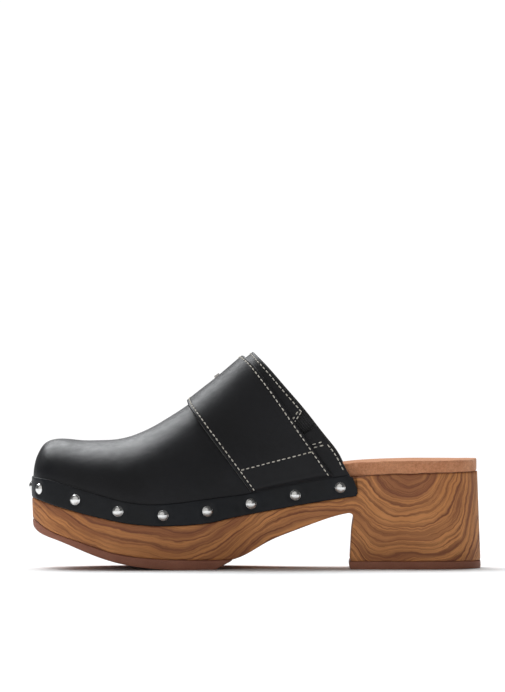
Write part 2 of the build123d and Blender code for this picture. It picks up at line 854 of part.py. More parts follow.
def main():
    parts = build()
    boxes = [shape.bounding_box() for shape in parts.values()]
    shift_x = -(min(b.min.X for b in boxes) + max(b.max.X for b in boxes)) / 2
    shift_y = -(min(b.min.Y for b in boxes) + max(b.max.Y for b in boxes)) / 2
    os.makedirs("parts", exist_ok=True)
    for name, shape in parts.items():
        export_step(Pos(shift_x, shift_y, 0) * shape, f"parts/{name}.step")


if __name__ == "__main__":
    main()
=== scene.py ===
import json
import math

import bmesh
import bpy
import numpy as np
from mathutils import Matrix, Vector


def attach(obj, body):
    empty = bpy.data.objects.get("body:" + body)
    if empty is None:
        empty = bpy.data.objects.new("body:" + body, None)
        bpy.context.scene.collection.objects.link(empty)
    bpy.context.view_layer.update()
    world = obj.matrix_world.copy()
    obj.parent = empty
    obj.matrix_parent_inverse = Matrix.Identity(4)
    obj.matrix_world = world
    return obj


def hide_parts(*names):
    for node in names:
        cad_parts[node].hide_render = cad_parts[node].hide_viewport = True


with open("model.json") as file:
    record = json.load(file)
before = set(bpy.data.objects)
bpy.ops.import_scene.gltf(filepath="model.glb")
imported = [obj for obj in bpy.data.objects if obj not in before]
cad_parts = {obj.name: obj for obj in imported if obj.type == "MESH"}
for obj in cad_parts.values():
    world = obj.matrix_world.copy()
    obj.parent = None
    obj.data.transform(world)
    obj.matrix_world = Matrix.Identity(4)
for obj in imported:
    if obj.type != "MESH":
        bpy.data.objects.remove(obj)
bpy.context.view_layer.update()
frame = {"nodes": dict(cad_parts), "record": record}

# ---------------------------------------------------------------- sizes in millimetres
# The outlines are in the plan's own frame, which SHIFT takes to the shared one.
RAND_PROUD, RAND_IN, BULGE = 1.1, -0.5, 0.3
STRAP_THICK, LEATHER, WALL, STUD_PITCH = 2.4, 1.6, 3.0, 25.3
INNER = [(-123.9, -4.0), (-120.4, -27.0), (-101.0, -40.8), (-77.0, -45.8), (-52.0, -44.5), (-26.0, -38.6),
         (-2.5, -32.6), (21.0, -29.2), (46.0, -28.8), (70.0, -30.2), (92.0, -30.8), (109.0, -27.0),
         (119.5, -16.5), (123.4, 0.0)]
OUTER = [(-123.9, -4.0), (-120.6, 17.0), (-108.0, 30.5), (-90.0, 39.0), (-70.0, 43.4), (-47.0, 45.0),
         (-25.0, 43.2), (0.0, 38.0), (25.0, 33.2), (48.0, 31.2), (72.0, 31.2), (92.0, 30.8),
         (109.0, 27.0), (119.5, 16.5), (123.4, 0.0)]
RIDGE = [(-124.2, 51.4), (-124.05, 54.6), (-123.5, 58.2), (-122.5, 61.8), (-120.8, 65.5), (-117.6, 69.6),
         (-114.0, 71.4), (-109.0, 72.1), (-98.0, 71.2), (-87.5, 71.1), (-77.4, 71.7), (-70.7, 73.2),
         (-64.1, 75.6), (-57.4, 78.8), (-50.7, 82.7), (-44.0, 86.9), (-38.0, 91.1), (-30.6, 96.9),
         (-24.0, 102.0), (-17.0, 107.7), (-10.0, 113.7), (-2.1, 120.3), (12.0, 131.0), (32.0, 143.0),
         (66.0, 156.0)]
RAND_TOP = [(-134.0, 52.0), (-124.8, 51.3), (-113.3, 49.5), (-94.1, 43.7), (-74.9, 38.4), (-60.5, 36.5),
            (-46.1, 37.0), (-26.9, 39.4), (-3.1, 42.4), (18.2, 46.7), (41.6, 51.0), (53.0, 52.4),
            (66.0, 54.0)]
RAND_BOTTOM = [(-134.0, 41.0), (-124.8, 39.9), (-113.3, 36.0), (-94.1, 30.7), (-74.9, 26.4), (-60.5, 24.7),
               (-46.1, 24.5), (-26.9, 25.9), (-12.5, 29.0), (15.4, 34.2), (35.0, 37.6), (55.8, 40.8)]
TOPLINE = [(-2.1, 120.6), (6.2, 111.8), (16.2, 100.1), (26.3, 88.4), (39.6, 71.6), (46.3, 62.7),
           (50.5, 54.4), (52.1, 51.9)]
STITCH_PITCH, STITCH_LONG, STITCH_DIA, STITCH_IN, STITCH_SINK = 2.9, 2.1, 0.62, 1.8, 0.12
TIGHT_PITCH = 2.7
# Stitch rows on the inner side, as X and Z: across the strap, and in pairs at the ends of the elastic.
STRAP_ROW = [(-9.6, 55.0), (10.5, 60.1), (31.0, 65.3)]
ELASTIC_ROWS = [[(25.0, 87.6), (22.4, 83.6), (19.0, 78.6)], [(23.4, 88.3), (20.9, 84.4), (17.6, 79.6)],
                [(27.0, 68.2), (32.2, 69.6), (37.0, 71.0)], [(27.6, 66.3), (32.4, 67.7), (37.9, 69.2)]]
# From the side, the strap's length runs down by RISE and heelward by RUN, and its width is square
# to that. The plane of its buckle end is turned by TILT.
RUN, RISE, TILT = 0.595, 0.804, math.radians(6.0)
STRAP_X = -22.5
HINGE_RUN, HINGE_HEIGHT = 43.0, 4.0
BILLET_HALF, BILLET_END, BILLET_TIP = 10.0, 71.0, 9.5
# Height of the strap's end over the leather, along its run from the ridge: it climbs over the hinge bar.
BILLET_PATH = [(6, 0.1), (12, 0.2), (17, 0.3), (23, 0.6), (29, 2.4), (35, 5.0), (39, 6.7), (43, 7.5),
               (46, 6.9), (50, 5.1), (54, 4.2), (60, 3.9), (66, 3.9), (71, 3.9)]
STUD_RADIUS, STUD_HIGH, STUD_SIDES = 3.0, 1.7, 40
NOTCH = [(28.9, 91.8), (27.4, 90.2), (24.9, 86.7), (22.5, 82.8), (12.6, 66.4), (13.6, 65.6), (26.9, 75.6),
         (31.7, 78.9), (35.6, 81.3), (37.0, 82.3)]
CORD_PITCH, CORD_DEEP, CORD_TURN = 1.3, 0.10, math.radians(50)

# In metres, apart from the sensor's millimetres and the floor's number of rows.
SENSOR, CAMERA_DIST, VIEW_HIGH = 36.0, 8.0, 0.3858
CAMERA_TILT, CAMERA_LOOK = math.radians(1.0), Vector((-0.0014, 0.0, 0.1236))
FLOOR_X, FLOOR_Y, FLOOR_ROWS = (-3, 3), (-4.5, 1.5), 24


# ---------------------------------------------------------------- curves
def lengths(p):
    """Distance of each point along a line from its start."""
    return np.concatenate([[0], np.cumsum(np.linalg.norm(np.diff(p, axis=0), axis=1))])


def follow(s, run, line):
    """Points of a line at distances along it."""
    return np.stack([np.interp(s, run, line[:, c]) for c in range(line.shape[1])], axis=-1)


def ease(k):
    return k * k * (3 - 2 * k)


def hermite(points, x):
    """Smooth height through the points, as in the solid model."""
    p = np.asarray(points, float)
    x = np.clip(np.asarray(x, float), p[0, 0], p[-1, 0])
    i = np.clip(np.searchsorted(p[:, 0], x, side="right") - 1, 0, len(p) - 2)
    lo = np.maximum(np.arange(len(p)) - 1, 0)
    hi = np.minimum(np.arange(len(p)) + 1, len(p) - 1)
    m = (p[hi, 1] - p[lo, 1]) / (p[hi, 0] - p[lo, 0])
    h = p[i + 1, 0] - p[i, 0]
    t = (x - p[i, 0]) / h
    return ((2 * t**3 - 3 * t**2 + 1) * p[i, 1] + (t**3 - 2 * t**2 + t) * h * m[i]
            + (3 * t**2 - 2 * t**3) * p[i + 1, 1] + (t**3 - t**2) * h * m[i + 1])


def spline2d(points, count, closed=False):
    """Cubic spline by chord length through 2-D points, evaluated evenly: points and tangents."""
    p = np.asarray(points, float)
    if closed:
        p = np.vstack([p, p[:1]])
    t = lengths(p)
    n = len(t)
    h = np.diff(t)
    a = np.zeros((n, n))
    r = np.zeros((n, 2))
    for i in range(1, n - 1):
        a[i, i - 1:i + 2] = h[i - 1], 2 * (h[i - 1] + h[i]), h[i]
        r[i] = 6 * ((p[i + 1] - p[i]) / h[i] - (p[i] - p[i - 1]) / h[i - 1])
    if closed:
        a[0, 0], a[0, -1] = 1, -1
        a[-1, 0], a[-1, 1], a[-1, -2], a[-1, -1] = 2 * h[0], h[0], h[-1], 2 * h[-1]
        r[-1] = 6 * ((p[1] - p[0]) / h[0] - (p[-1] - p[-2]) / h[-1])
    else:
        a[0, 0] = a[-1, -1] = 1
    m = np.linalg.solve(a, r)
    fine = np.linspace(0, t[-1], 6 * count)
    q = _cubic(p, t, h, m, fine)
    s = lengths(q)
    u = np.interp(np.linspace(0, s[-1], count + 1), s, fine)
    out = _cubic(p, t, h, m, u)
    tan = np.gradient(out, axis=0)
    if closed:
        tan[0] = tan[-1] = out[1] - out[-2]
    tan /= np.linalg.norm(tan, axis=1)[:, None]
    return out, tan


def _cubic(p, t, h, m, u):
    """Piecewise cubic with knots t, values p and second derivatives m."""
    i = np.clip(np.searchsorted(t, u, side="right") - 1, 0, len(h) - 1)
    d = (u - t[i])[:, None]
    e = (t[i + 1] - u)[:, None]
    hh = h[i][:, None]
    return (m[i] * e**3 + m[i + 1] * d**3) / (6 * hh) + (p[i] / hh - m[i] * hh / 6) * e \
        + (p[i + 1] / hh - m[i + 1] * hh / 6) * d


PLAN, PLAN_T = spline2d(INNER + OUTER[::-1][1:-1], 2400, closed=True)
PLAN_N = np.stack([PLAN_T[:, 1], -PLAN_T[:, 0]], axis=1)
if PLAN_N[0, 0] > 0:
    PLAN_N = -PLAN_N
HEEL_I = int(np.argmax(PLAN[:, 0]))


def plan_at(u, off):
    """Point of the plan outline at a share of its length, moved outward, with its normal."""
    u = np.mod(np.asarray(u, float), 1.0) * (len(PLAN) - 1)
    i = np.minimum(u.astype(int), len(PLAN) - 2)
    f = (u - i)[..., None]
    n = PLAN_N[i] * (1 - f) + PLAN_N[i + 1] * f
    n /= np.linalg.norm(n, axis=-1, keepdims=True)
    p = PLAN[i] * (1 - f) + PLAN[i + 1] * f
    return p + n * np.asarray(off)[..., None], n


_SIDES = {}


def sides(x, off):
    """Y of the inner and the outer edge of the plan at x."""
    key = round(off, 3)
    if key not in _SIDES:
        q = PLAN + PLAN_N * off
        k = int(np.argmin(np.vstack([q[-60:], q[:60]])[:, 0])) - 60
        ring = np.roll(q[:-1], -k, axis=0)
        e = int(np.argmax(ring[:, 0]))
        a, b = ring[:e + 1], np.vstack([ring[e:], ring[:1]])[::-1]
        _SIDES[key] = (a[:, 0], a[:, 1], b[:, 0], b[:, 1])
    ax, ay, bx, by = _SIDES[key]
    return np.interp(x, ax, ay), np.interp(x, bx, by)


_RIDGES = {}


def ridge_z(x, off):
    """Height of the ridge line at x, moved outward."""
    key = round(off, 3)
    if key not in _RIDGES:
        q, t = spline2d(RIDGE, 1600)
        q = q + np.stack([-t[:, 1], t[:, 0]], axis=1) * off
        q[:, 0] = np.maximum.accumulate(q[:, 0])
        _RIDGES[key] = q
    q = _RIDGES[key]
    return np.interp(x, q[:, 0], q[:, 1])


def arch(x, plan_off, ridge_off):
    """Section of the upper at x: both edges, crown, base, rise and squareness."""
    inner, outer = sides(x, plan_off)
    base = hermite(RAND_TOP, x)
    lean = 2.0 * np.clip((x + 110.0) / 60.0, 0, 1)
    crown = (inner + outer) / 2 - lean
    power = 2.15 + 0.15 * np.clip((x + 70.0) / 60.0, 0, 1)
    return inner, outer, crown, base, np.maximum(ridge_z(x, ridge_off) - base, 0.0), power


def skin(x, phi, plan_off=BULGE, ridge_off=0.0):
    """Upper's surface at x and an angle, from the inner base (0) to the outer base (pi)."""
    inner, outer, crown, base, rise, power = arch(x, plan_off, ridge_off)
    c = np.cos(phi)
    reach = np.abs(c) ** (2 / power)
    y = crown + np.where(c > 0, inner - crown, outer - crown) * reach
    z = base + rise * np.clip(np.sin(phi), 0, 1) ** (2 / power)
    return np.stack([x + 0 * y, y, z], axis=-1)


def side_y(x, z, outer_side, plan_off=BULGE, ridge_off=0.0):
    """Y of the upper's surface where a sideways line at x, z meets it."""
    inner, outer, crown, base, rise, power = arch(x, plan_off, ridge_off)
    share = np.clip((z - base) / rise, 0, 1)
    edge = outer if outer_side else inner
    return crown + (edge - crown) * (1 - share**power) ** (1 / power)


# ---------------------------------------------------------------- mesh helpers
def metres(p):
    """From the plan's millimetres to the shared frame's metres."""
    return (np.asarray(p, float) + SHIFT) / 1000.0


def new_object(name, verts, faces, mats, slots=None, smooth=True):
    mesh = bpy.data.meshes.new(name)
    mesh.from_pydata([tuple(v) for v in metres(verts)], [], faces)
    for m in mats:
        mesh.materials.append(m)
    if slots is not None:
        mesh.polygons.foreach_set("material_index", np.asarray(slots, dtype=np.int32))
    mesh.polygons.foreach_set("use_smooth", np.full(len(faces), smooth, dtype=bool))
    mesh.update()
    obj = bpy.data.objects.new(name, mesh)
    bpy.context.scene.collection.objects.link(obj)
    return obj


def grid_faces(rows, cols, close_cols=False, base=0):
    faces = []
    for i in range(rows - 1):
        a, b = i * cols, (i + 1) * cols
        for j in range(cols if close_cols else cols - 1):
            k = (j + 1) % cols
            faces.append((base + a + j, base + a + k, base + b + k, base + b + j))
    return faces


def grid_normals(g):
    """Unit normals of a grid of points (rows, cols, 3)."""
    n = np.cross(np.gradient(g, axis=0), np.gradient(g, axis=1))
    size = np.linalg.norm(n, axis=-1, keepdims=True)
    return n / np.maximum(size, 1e-9)


def outward_normals(g):
    """Normals of a sheet over the foot, turned to point up at its middle."""
    n = grid_normals(g)
    return -n if n[g.shape[0] // 2, g.shape[1] // 2, 2] < 0 else n


def tidy(obj, merge=0.00002):
    bm = bmesh.new()
    bm.from_mesh(obj.data)
    bmesh.ops.remove_doubles(bm, verts=bm.verts, dist=merge)
    bmesh.ops.dissolve_degenerate(bm, edges=bm.edges, dist=merge / 4)
    bmesh.ops.recalc_face_normals(bm, faces=bm.faces)
    bm.to_mesh(obj.data)
    bm.free()
    return obj


def apply_modifiers(obj):
    deps = bpy.context.evaluated_depsgraph_get()
    mesh = bpy.data.meshes.new_from_object(obj.evaluated_get(deps))
    obj.modifiers.clear()
    obj.data = mesh
    return obj


def softened(name, sources, mat, voxel, rounds):
    """Copy of one or more CAD nodes with the small roundings of the real edge."""
    bm = bmesh.new()
    for src in [sources] if isinstance(sources, str) else sources:
        bm.from_mesh(frame["nodes"][src].data)
    mesh = bpy.data.meshes.new(name)
    bm.to_mesh(mesh)
    bm.free()
    obj = bpy.data.objects.new(name, mesh)
    bpy.context.scene.collection.objects.link(obj)
    m = obj.modifiers.new("remesh", "REMESH")
    m.mode = "VOXEL"
    m.voxel_size = voxel / 1000.0
    m.use_smooth_shade = True
    s = obj.modifiers.new("smooth", "SMOOTH")
    s.factor = 0.5
    s.iterations = rounds
    apply_modifiers(obj)
    obj.data.materials.clear()
    obj.data.materials.append(mat)
    obj.data.polygons.foreach_set("material_index", np.zeros(len(obj.data.polygons), dtype=np.int32))
    return obj


def cut_away(obj, ring_a, ring_b):
    """Cut the prism between two rings of as many points out of an object."""
    n = len(ring_a)
    faces = [tuple(range(n)), tuple(range(2 * n - 1, n - 1, -1))]
    faces += [(i, n + i, n + (i + 1) % n, (i + 1) % n) for i in range(n)]
    cutter = new_object("cutter_tmp", np.array(list(ring_a) + list(ring_b)), faces, [EDGE], smooth=False)
    tidy(cutter)
    m = obj.modifiers.new("cut", "BOOLEAN")
    m.operation = "DIFFERENCE"
    m.solver = "EXACT"
    m.object = cutter
    apply_modifiers(obj)
    bpy.data.objects.remove(cutter)


def coords(obj):
    """Vertices in the plan's millimetres."""
    v = np.empty(len(obj.data.vertices) * 3)
    obj.data.vertices.foreach_get("co", v)
    return v.reshape(-1, 3) * 1000.0 - SHIFT


def set_coords(obj, p):
    obj.data.vertices.foreach_set("co", metres(p).ravel())
    obj.data.update()


def smooth_noise(p, scale, seed):
    """Sum of seeded sine waves: gentle, repeatable unevenness between about -1 and 1."""
    rng = np.random.default_rng(seed)
    out = np.zeros(len(p))
    for _ in range(9):
        k = rng.normal(size=3)
        k *= (0.6 + 0.8 * rng.random()) / np.linalg.norm(k) / scale * 2 * math.pi
        out += np.sin(p @ k + rng.random() * 6.283)
    return out / 4.5


# ---------------------------------------------------------------- materials
def material(name):
    m = bpy.data.materials.new(name)
    m.use_nodes = True
    nt = m.node_tree
    for n in list(nt.nodes):
        nt.nodes.remove(n)
    out = nt.nodes.new("ShaderNodeOutputMaterial")
    b = nt.nodes.new("ShaderNodeBsdfPrincipled")
    nt.links.new(b.outputs[0], out.inputs[0])
    return m, nt, b


def fill(nt, n, inputs):
    """Link the sockets and set the plain values among a node's inputs."""
    for k, v in inputs.items():
        if isinstance(v, bpy.types.NodeSocket):
            nt.links.new(v, n.inputs[k])
        else:
            n.inputs[k].default_value = v
    return n


def node(nt, kind, inputs=None, **props):
    n = nt.nodes.new(kind)
    for k, v in props.items():
        setattr(n, k, v)
    return fill(nt, n, inputs or {})


def where(nt, scale=(1, 1, 1)):
    c = node(nt, "ShaderNodeTexCoord")
    return node(nt, "ShaderNodeMapping", {"Vector": c.outputs["Object"], "Scale": scale}).outputs[0]


def noise(nt, vec, scale, detail=4.0, rough=0.55, distortion=0.0):
    return node(nt, "ShaderNodeTexNoise", {"Vector": vec, "Scale": scale, "Detail": detail,
                                           "Roughness": rough, "Distortion": distortion}).outputs[0]


def ramp(nt, fac, stops):
    n = node(nt, "ShaderNodeValToRGB", {"Fac": fac})
    e = n.color_ramp.elements
    while len(e) < len(stops):
        e.new(0.5)
    for el, (pos, col) in zip(e, stops):
        el.position = pos
        el.color = (*col, 1.0)
    return n.outputs[0]


def spread(nt, fac, lo, hi, a=0.0, b=1.0):
    return node(nt, "ShaderNodeMapRange", {"Value": fac, "From Min": a, "From Max": b, "To Min": lo,
                                           "To Max": hi}).outputs[0]


def smooth_step(nt, fac, a, b, lo, hi):
    return node(nt, "ShaderNodeMapRange", {"Value": fac, "From Min": a, "From Max": b, "To Min": lo,
                                           "To Max": hi}, interpolation_type="SMOOTHSTEP").outputs[0]


def calc(nt, op, a, b=0.0):
    return node(nt, "ShaderNodeMath", {0: a, 1: b}, operation=op).outputs[0]


def mixed(nt, fac, a, b):
    n = node(nt, "ShaderNodeMix", data_type="RGBA", blend_type="MIX")
    for sock, v in ((n.inputs[0], fac), (n.inputs[6], a), (n.inputs[7], b)):
        if isinstance(v, bpy.types.NodeSocket):
            nt.links.new(v, sock)
        else:
            sock.default_value = v if not isinstance(v, tuple) or len(v) == 4 else (*v, 1.0)
    return n.outputs[2]


def bump(nt, height, strength, depth, normal=None):
    ins = {"Height": height, "Strength": strength, "Distance": depth}
    if normal is not None:
        ins["Normal"] = normal
    return node(nt, "ShaderNodeBump", ins).outputs[0]


def leather(name, colour, rough, grain=1.0, tint=(1.0, 1.0, 1.0)):
    m, nt, b = material(name)
    v = where(nt)
    pores = node(nt, "ShaderNodeTexVoronoi", {"Vector": v, "Scale": 1500.0, "Randomness": 1.0},
                 feature="DISTANCE_TO_EDGE").outputs["Distance"]
    fine = noise(nt, v, 2600.0, 3.0)
    creases = noise(nt, v, 260.0, 5.0, 0.6)
    broad = noise(nt, v, 38.0, 3.0, 0.5)
    col = mixed(nt, spread(nt, broad, 0.0, 1.0, 0.3, 0.7), tuple(c * 0.8 for c in colour),
                tuple(c * 1.35 * t for c, t in zip(colour, tint)))
    r = calc(nt, "ADD", spread(nt, creases, rough - 0.05, rough + 0.07, 0.3, 0.7),
             spread(nt, broad, -0.03, 0.03))
    n1 = bump(nt, broad, 0.12, 0.004)
    n2 = bump(nt, creases, 0.16 * grain, 0.0006, n1)
    n3 = bump(nt, spread(nt, pores, 0.0, 1.0, 0.0, 0.35), 0.20 * grain, 0.00012, n2)
    fill(nt, b, {"Base Color": col, "Roughness": r, "Normal": bump(nt, fine, 0.12 * grain, 0.0001, n3),
                 "Specular IOR Level": 0.22, "Coat Weight": 0.05, "Coat Roughness": 0.32})
    return m


def raw_edge():
    m, nt, b = material("leather_raw_edge")
    v = where(nt)
    f = noise(nt, v, 900.0, 5.0, 0.7)
    col = ramp(nt, f, [(0.25, (0.05, 0.049, 0.048)), (0.7, (0.13, 0.128, 0.125))])
    fill(nt, b, {"Base Color": col, "Normal": bump(nt, f, 0.5, 0.0003), "Roughness": 0.85})
    return m


def wood_material(name):
    """Streaks follow the 'ring' attribute, which is a smooth distance between growth bands."""
    m, nt, b = material(name)
    v = where(nt)
    ring = node(nt, "ShaderNodeAttribute", attribute_name="ring").outputs["Fac"]
    wob = noise(nt, where(nt, (30, 30, 45)), 1.0, 4.0, 0.6)
    phase = calc(nt, "ADD", ring, spread(nt, wob, -0.9, 0.9))

    def along(stretch, sx, sy, sz):
        lane = node(nt, "ShaderNodeCombineXYZ", {0: calc(nt, "MULTIPLY", phase, stretch)}).outputs[0]
        return node(nt, "ShaderNodeVectorMath", {0: lane, 1: where(nt, (sx, sy, sz))},
                    operation="ADD").outputs[0]

    broad = noise(nt, along(0.85, 9, 22, 9), 1.0, 3.0, 0.6)
    fine = noise(nt, along(4.2, 22, 60, 22), 1.0, 5.0, 0.7)
    pores = noise(nt, along(19.0, 120, 240, 120), 1.0, 3.0, 0.6)
    lane = calc(nt, "FRACT", phase)
    late = smooth_step(nt, lane, 0.45, 0.88, 0.0, 1.0)
    fall = smooth_step(nt, lane, 0.88, 1.0, 1.0, 0.0)
    band = calc(nt, "MULTIPLY", late, fall)
    band = calc(nt, "MULTIPLY", band, spread(nt, fine, 0.15, 1.0, 0.38, 0.6))
    cloud = noise(nt, v, 26.0, 4.0, 0.6)
    base = ramp(nt, cloud, [(0.3, (0.50, 0.202, 0.066)), (0.7, (0.66, 0.292, 0.106))])
    base = mixed(nt, spread(nt, broad, 0.0, 0.66, 0.47, 0.62), base, (0.215, 0.072, 0.038))
    base = mixed(nt, calc(nt, "MULTIPLY", band, 0.85), base, (0.150, 0.048, 0.028))
    base = mixed(nt, spread(nt, fine, 0.0, 0.80, 0.49, 0.66), base, (0.185, 0.062, 0.033))
    base = mixed(nt, spread(nt, pores, 0.0, 0.6, 0.54, 0.70), base, (0.12, 0.040, 0.022))
    n1 = bump(nt, fine, 0.10, 0.0003)
    fill(nt, b, {"Base Color": base, "Roughness": spread(nt, fine, 0.50, 0.66, 0.3, 0.7),
                 "Normal": bump(nt, pores, 0.08, 0.0002, n1), "Specular IOR Level": 0.22})
    return m


def rubber_material():
    m, nt, b = material("sole_rubber")
    v = where(nt)
    speck = noise(nt, v, 1400.0, 3.0, 0.7)
    broad = noise(nt, v, 60.0, 4.0, 0.6)
    col = ramp(nt, broad, [(0.3, (0.27, 0.105, 0.064)), (0.7, (0.345, 0.142, 0.088))])
    fill(nt, b, {"Base Color": mixed(nt, spread(nt, speck, 0.0, 0.35, 0.45, 0.75), col, (0.18, 0.070, 0.042)),
                 "Normal": bump(nt, speck, 0.25, 0.0002, bump(nt, broad, 0.1, 0.002)),
                 "Roughness": 0.62, "Specular IOR Level": 0.3})
    return m


def suede_material():
    m, nt, b = material("footbed_suede")
    v = where(nt)
    nap = noise(nt, v, 900.0, 6.0, 0.8)
    tuft = noise(nt, v, 330.0, 5.0, 0.75)
    brush = noise(nt, where(nt, (60, 150, 150)), 1.0, 4.0, 0.6, 0.8)
    broad = noise(nt, v, 24.0, 3.0)
    col = ramp(nt, brush, [(0.3, (0.52, 0.215, 0.105)), (0.7, (0.68, 0.315, 0.165))])
    col = mixed(nt, spread(nt, nap, 0.0, 0.75, 0.44, 0.66), col, (0.34, 0.125, 0.060))
    col = mixed(nt, spread(nt, tuft, 0.0, 0.45, 0.48, 0.70), col, (0.78, 0.42, 0.25))
    fill(nt, b, {"Base Color": mixed(nt, spread(nt, broad, 0.0, 0.3, 0.35, 0.7), col, (0.66, 0.33, 0.18)),
                 "Normal": bump(nt, nap, 0.8, 0.0004, bump(nt, brush, 0.15, 0.001)),
                 "Roughness": 0.95, "Specular IOR Level": 0.15, "Sheen Weight": 0.35,
                 "Sheen Roughness": 0.45, "Sheen Tint": (1.0, 0.8, 0.65, 1.0)})
    return m


def lining_material():
    m, nt, b = material("lining_leather")
    v = where(nt)
    broad = noise(nt, v, 40.0, 4.0)
    fine = noise(nt, v, 1300.0, 4.0, 0.7)
    col = ramp(nt, broad, [(0.3, (0.016, 0.015, 0.014)), (0.7, (0.026, 0.024, 0.022))])
    fill(nt, b, {"Base Color": col, "Normal": bump(nt, fine, 0.25, 0.0002), "Roughness": 0.7})
    return m


def metal_material(name, colour, rough, scratch):
    m, nt, b = material(name)
    v = where(nt)
    wear = noise(nt, v, 900.0, 5.0, 0.65)
    lines = noise(nt, where(nt, (300, 3200, 300)), 1.0, 3.0, 0.6)
    col = mixed(nt, spread(nt, wear, 0.0, 0.3, 0.5, 0.8), colour, tuple(c * 0.6 for c in colour))
    r = calc(nt, "ADD", spread(nt, wear, rough, rough + 0.12, 0.35, 0.75), spread(nt, lines, 0.0, scratch))
    fill(nt, b, {"Base Color": col, "Roughness": r, "Metallic": 1.0,
                 "Normal": bump(nt, lines, 0.05, 0.0001, bump(nt, wear, 0.05, 0.0002))})
    return m


def thread_material():
    m, nt, b = material("thread_cream")
    v = where(nt)
    ply = node(nt, "ShaderNodeTexWave", {"Vector": v, "Scale": 900.0, "Distortion": 1.5, "Detail": 2.0},
               bands_direction="DIAGONAL").outputs["Fac"]
    broad = noise(nt, v, 120.0, 3.0)
    col = ramp(nt, broad, [(0.3, (0.58, 0.54, 0.46)), (0.7, (0.76, 0.73, 0.66))])
    # Painted shade: the thread colour is darker in the grooves between the plies, where the ply bump is low.
    fill(nt, b, {"Base Color": mixed(nt, spread(nt, ply, 0.35, 0.0), col, (0.40, 0.36, 0.29)),
                 "Normal": bump(nt, ply, 0.5, 0.0001), "Roughness": 0.75, "Sheen Weight": 0.2})
    return m


def elastic_material():
    m, nt, b = material("gore_elastic")
    v = node(nt, "ShaderNodeTexCoord").outputs["Object"]
    turned = node(nt, "ShaderNodeMapping", {"Vector": v, "Rotation": (0.0, -CORD_TURN, 0.0)}).outputs[0]
    ribs = node(nt, "ShaderNodeTexWave", {"Vector": turned, "Scale": 240.0, "Distortion": 0.4,
                                          "Detail": 1.0}, bands_direction="Z").outputs["Fac"]
    weave = noise(nt, v, 2400.0, 3.0)
    # Painted shade: the elastic is darker in the grooves between the ribs and lighter on their raised tops,
    # following the rib bump.
    fill(nt, b, {"Base Color": mixed(nt, ribs, (0.006, 0.006, 0.0065), (0.017, 0.017, 0.018)),
                 "Normal": bump(nt, ribs, 0.8, 0.0004, bump(nt, weave, 0.4, 0.0002)),
                 "Roughness": 0.8, "Sheen Weight": 0.15})
    return m


BLACK = leather("upper_leather", (0.0062, 0.0064, 0.0080), 0.44)
RAND_MAT = leather("rand_leather", (0.0048, 0.0056, 0.0072), 0.48, 0.8, (0.95, 1.0, 1.1))
EDGE = raw_edge()
WOOD = wood_material("sole_wood")
RUBBER = rubber_material()
SUEDE = suede_material()
LINING = lining_material()
STUD = metal_material("stud_metal", (0.78, 0.78, 0.77), 0.16, 0.06)
BUCKLE = metal_material("buckle_metal", (0.52, 0.50, 0.48), 0.24, 0.08)
THREAD = thread_material()
ELASTIC = elastic_material()


# ---------------------------------------------------------------- camera, light and floor
def camera():
    data = bpy.data.cameras.new("camera")
    data.type = "PERSP"
    data.sensor_fit = "AUTO"
    data.sensor_width = SENSOR
    data.lens = SENSOR * CAMERA_DIST / VIEW_HIGH
    data.clip_end = 50.0
    cam = bpy.data.objects.new("camera", data)
    bpy.context.scene.collection.objects.link(cam)
    back = Vector((0.0, -math.cos(CAMERA_TILT), math.sin(CAMERA_TILT)))
    cam.location = CAMERA_LOOK + CAMERA_DIST * back
    cam.rotation_euler = (math.radians(90) - CAMERA_TILT, 0.0, 0.0)
    bpy.context.scene.camera = cam


def soft_sun(name, power, spread_deg, travel, colour):
    data = bpy.data.lights.new(name, "SUN")
    data.energy = power
    data.angle = math.radians(spread_deg)
    data.color = colour
    obj = bpy.data.objects.new(name, data)
    bpy.context.scene.collection.objects.link(obj)
    obj.rotation_euler = Vector(travel).to_track_quat("-Z", "Y").to_euler()


def floor():
    m, nt, b = material("floor_pale")
    f = noise(nt, where(nt), 6.0, 2.0)
    col = ramp(nt, f, [(0.3, (0.86, 0.86, 0.86)), (0.7, (0.88, 0.88, 0.88))])
    fill(nt, b, {"Base Color": col, "Roughness": 0.9, "Specular IOR Level": 0.1})
    n = FLOOR_ROWS
    xs, ys = np.linspace(*FLOOR_X, n), np.linspace(*FLOOR_Y, n)
    g = np.stack(np.meshgrid(xs, ys, indexing="ij") + [np.zeros((n, n))], axis=-1).reshape(-1, 3)
    mesh = bpy.data.meshes.new("floor")
    mesh.from_pydata([tuple(p) for p in g], [], grid_faces(n, n))
    mesh.materials.append(m)
    obj = bpy.data.objects.new("floor", mesh)
    bpy.context.scene.collection.objects.link(obj)


def light():
    """White only straight behind the object; dim elsewhere, so that the leather keeps its dark sides."""
    world = bpy.data.worlds.new("studio")
    bpy.context.scene.world = world
    world.use_nodes = True
    nt = world.node_tree
    bg = nt.nodes["Background"]
    way = node(nt, "ShaderNodeTexCoord").outputs["Generated"]
    part = node(nt, "ShaderNodeSeparateXYZ", {0: way})
    fill(nt, bg, {0: smooth_step(nt, part.outputs[1], 0.978, 0.996, 0.09, 1.05), 1: 1.0})
    soft_sun("overhead", 4.6, 56, (0.24, -0.66, -1.0), (0.965, 0.984, 1.0))
    soft_sun("front_fill", 0.85, 90, (0.35, 1.0, -0.35), (1.0, 0.985, 0.96))
    bpy.context.scene.view_settings.view_transform = "Standard"


# ---------------------------------------------------------------- upper and lining
_TOP = spline2d([(-10.0, 129.0)] + TOPLINE + [(54.0, 48.5)], 600)[0]


def end_x(phi, plan_off, ridge_off):
    """Where the surface meets the topline, for each angle."""
    lo = np.full(phi.shape, -40.0)
    hi = np.full(phi.shape, 58.0)
    for _ in range(40):
        mid = (lo + hi) / 2
        z = skin(mid, phi, plan_off, ridge_off)[..., 2]
        over = z > np.interp(mid, _TOP[:, 0], _TOP[:, 1], left=400.0, right=-400.0)
        hi = np.where(over, mid, hi)
        lo = np.where(over, lo, mid)
    return (lo + hi) / 2


